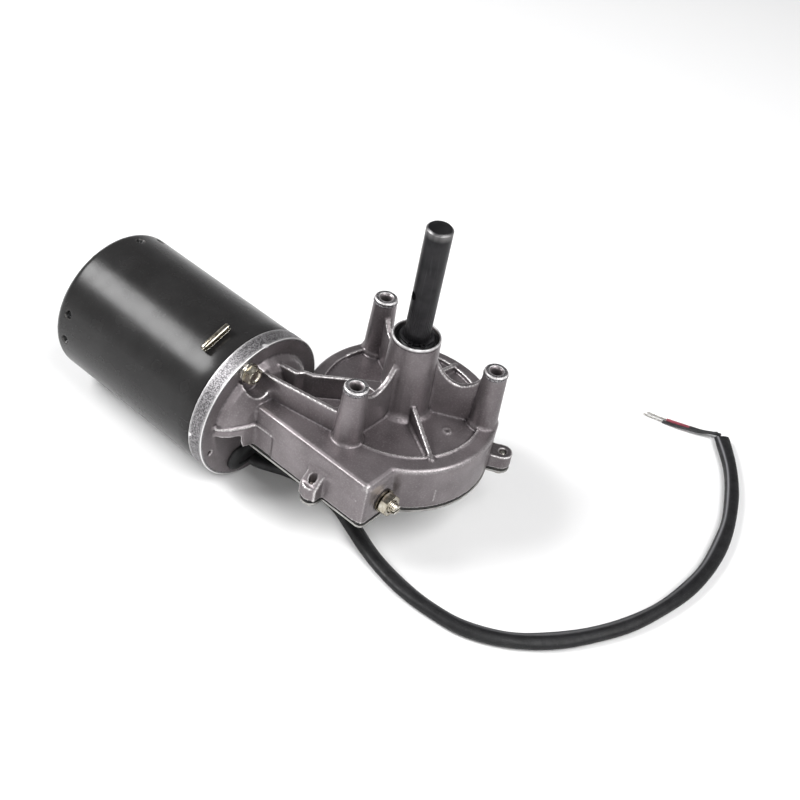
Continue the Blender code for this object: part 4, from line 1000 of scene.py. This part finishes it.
# ---- cord ----
def curve_through(places, spacing):
    """Evenly spaced points on a Catmull-Rom curve through the given places, in mm in the world."""
    nodes = [CASE + Vector(p) / MM for p in places]
    nodes = [2 * nodes[0] - nodes[1], *nodes, 2 * nodes[-1] - nodes[-2]]
    fine_line = []
    for a, b, c, d in zip(nodes, nodes[1:], nodes[2:], nodes[3:]):
        for step in range(24):
            t = step / 24
            bend, twist = 2 * a - 5 * b + 4 * c - d, 3 * b - a - 3 * c + d
            fine_line.append(0.5 * (2 * b + (c - a) * t + bend * t**2 + twist * t**3))
    fine_line.append(nodes[-2])
    total = sum((b - a).length for a, b in zip(fine_line, fine_line[1:]))
    count = max(2, round(total / spacing))
    made, travelled, target = [fine_line[0]], 0.0, total / count
    for a, b in zip(fine_line, fine_line[1:]):
        step = (b - a).length
        while travelled + step >= target and len(made) < count:
            made.append(a.lerp(b, (target - travelled) / step))
            target += total / count
        travelled += step
    made.append(fine_line[-1])
    return made


def swept(line, section):
    """Sweeps a closed section(position from 0 to 1) of (sideways, up) points along a line."""
    points = []
    for number, here in enumerate(line):
        before, after = line[max(0, number - 1)], line[min(len(line) - 1, number + 1)]
        ahead = (after - before).normalized()
        side = ahead.cross(Vector((0, 0, 1))).normalized()
        up = side.cross(ahead)
        outline = section(number / (len(line) - 1))
        points += [here + side * a + up * b for a, b in outline]
    return points, skin(len(outline), len(line))


def sleeve_section(position):
    """The flattened sleeve: a soft oval with a fold line on top, fuller in places and pinched at its end."""
    full = 1 + 0.045 * math.sin(position * 23.0) + 0.03 * math.sin(position * 61.0 + 1.0)
    pinch = 1 - 0.35 * smooth(0.975, 1.0, position)
    wide = CORD_WIDTH / 2 * (1 - 0.06 * (full - 1) / 0.05) * (1 + 0.04 * smooth(0.97, 1.0, position))
    thick = CORD_THICK / 2 * full * pinch
    tilt = math.radians(9 * math.sin(position * 9.0) - 4)
    made = []
    for step in range(CORD_SIDES):
        turn = 2 * math.pi * step / CORD_SIDES
        fold = 0.55 * math.exp(-(((turn - 1.95) / 0.16) ** 2))
        fold -= 0.22 * math.exp(-(((turn - 2.3) / 0.2) ** 2))
        x = math.copysign(abs(math.cos(turn)) ** 0.85, math.cos(turn)) * wide
        y = math.copysign(abs(math.sin(turn)) ** 0.85, math.sin(turn)) * (thick - fold)
        made.append((x * math.cos(tilt) - y * math.sin(tilt), x * math.sin(tilt) + y * math.cos(tilt)))
    return made


def round_section(radius, sides=20):
    return [polar(radius, 360 * i / sides) for i in range(sides)]


def cords(looks):
    """The motor's lead: a flattened sleeve, and two wires that leave it with their ends stripped."""
    line = curve_through(CORD_ROUTE, 1.5)
    for number, place in enumerate(line):
        place.z -= CORD_SINK * smooth(0.1, 0.25, number / len(line))
    points, faces = swept(line, sleeve_section)
    # Each point's share of the painted highlight along the fold on the sleeve's top, stronger towards its end.
    painted_highlight = []
    for number in range(len(points)):
        turn = 2 * math.pi * (number % CORD_SIDES) / CORD_SIDES
        further = 0.25 + 0.75 * smooth(0.6, 0.9, number / len(points))
        painted_highlight.append(math.exp(-(((turn - 2.2) / 0.17) ** 2)) * further)
    sleeve = mesh_piece("lead_sleeve", points, faces, looks["sheath"], crease=50, shown=painted_highlight)
    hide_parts("cord_sleeve")
    ends = []
    for name, route in WIRE_ROUTES.items():
        path = curve_through(route, 0.8)
        wire = swept(path, lambda position: round_section(WIRE_R))
        made = mesh_piece(f"lead_{name}", *wire, looks[name])
        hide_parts(f"wire_{name}")
        tip = mesh_piece(f"lead_{name}_strands", *strands(path), looks["tin"])
        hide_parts(f"wire_{name}_tip")
        ends += [made, tip]
        if name == "red":
            cover = path[: round(INNER_SLEEVE_SHARE * len(path))]
            shape = swept(cover, lambda position: round_section(WIRE_R + 0.13))
            ends.append(mesh_piece("lead_inner_sleeve", *shape, looks["black"]))


def strands(path):
    """Seven tinned strands twisted together, level with the end of the wire."""
    ahead = path[-1] - path[-2]
    ahead.z = 0
    ahead.normalize()
    start = path[-1] + ahead * 0.1
    shapes = []
    for strand in range(7):
        reach = 0.3 if strand else 0.0
        line = []
        for step in range(19):
            along = WIRE_TIP * step / 18 * (1 - 0.03 * (strand % 3))
            splay = 1 + 0.7 * smooth(0.6, 1.0, step / 18) * ((strand % 4) / 3)
            turn = math.radians(60 * strand + 40 * step)
            side = ahead.cross(Vector((0, 0, 1)))
            off = side * math.cos(turn) + Vector((0, 0, 1)) * math.sin(turn)
            line.append(start + ahead * along + off * reach * splay)
        shapes.append(swept(line, lambda position: round_section(0.15, 8)))
    return join(*shapes)


def grommet(looks):
    """Rubber grommet in the flange's port, with a rounded collar where the cord leaves."""
    y, z = PORT_PLACE

    def oblong(grow):
        half_width, half_height = PORT_HALF[0] + grow, PORT_HALF[1] + grow
        reach = half_width - half_height
        made = []
        for step in range(GROMMET_SIDES):
            a, b = polar(half_height, 360 * (step + 0.5) / GROMMET_SIDES)
            made.append((y + a + math.copysign(reach, a), z + b))
        return made

    low, face = FLANGE_X[0] + 0.6, FLANGE_X[1]
    rows = [(low, -0.8), (low, -0.45), (low + 0.3, -GAP), (face - 0.5, -GAP), (face + 0.05, -GAP)]
    rows += [(face + 0.05, 2.3), (face + 0.5, 2.6), (face + 1.3, 2.5), (face + 2.0, 1.7)]
    rows += [(face + 2.9, 0.5), (face + 3.25, -0.4), (face + 3.4, -1.0)]
    rows += [(face + 3.4, -1.9), (face + 2.6, -2.2)]
    points = [MOTOR + Vector((along, a, b)) for along, grow in rows for a, b in oblong(grow)]
    faces = skin(GROMMET_SIDES, len(rows), flip=True)
    made = mesh_piece("port_grommet", points, faces, looks["rubber"])
    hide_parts("cord_grommet")


# ---- pieces that keep their CAD shape ----
NODE_LOOKS = {
    "sheet": ("gear_cover",),
    "paper": ("cover_gasket",),
    "ferrite": ("magnet_1", "magnet_2"),
    "board": ("brush_plate",),
    "brass": ("brush_holder_1", "brush_holder_2"),
    "carbon": ("carbon_brush_1", "carbon_brush_2"),
    "bronze": ("rear_bush", "tail_bush", "output_bush_upper", "output_bush_lower"),
    "iron": ("lamination_stack",),
    "copper": ("armature_winding", "commutator"),
    "nylon": ("worm_wheel",),
    "zinc": ("wheel_hub",),
    "steel": (
        "front_bearing_outer_race",
        "front_bearing_inner_race",
        "thrust_ball",
        "armature_shaft",
        "drive_key",
        "hub_thrust_washer",
    ),
}


def dress_nodes(looks):
    """Materials and smooth shading for the CAD pieces that are shown as they are."""
    for look, names in NODE_LOOKS.items():
        for name in names:
            shape = frame["nodes"][name].data
            shape.materials.clear()
            shape.materials.append(looks[look])
            shape.shade_smooth()
            shape.set_sharp_from_angle(angle=math.radians(30))
    bevel(frame["nodes"]["gear_cover"], 0.25, angle=50)


# ---- the scene ----
def build():
    camera()
    looks = all_looks()
    cords(looks)
    grommet(looks)
    casting(looks)
    machined_faces(looks)
    can(looks)
    through_bolts(looks)
    end_play_screw(looks)
    cover_screws(looks)
    output_shaft(looks)
    seal_and_circlip(looks)
    spring_pin(looks)
    brush_springs(looks)
    dress_nodes(looks)
    floor()
    studio()


build()
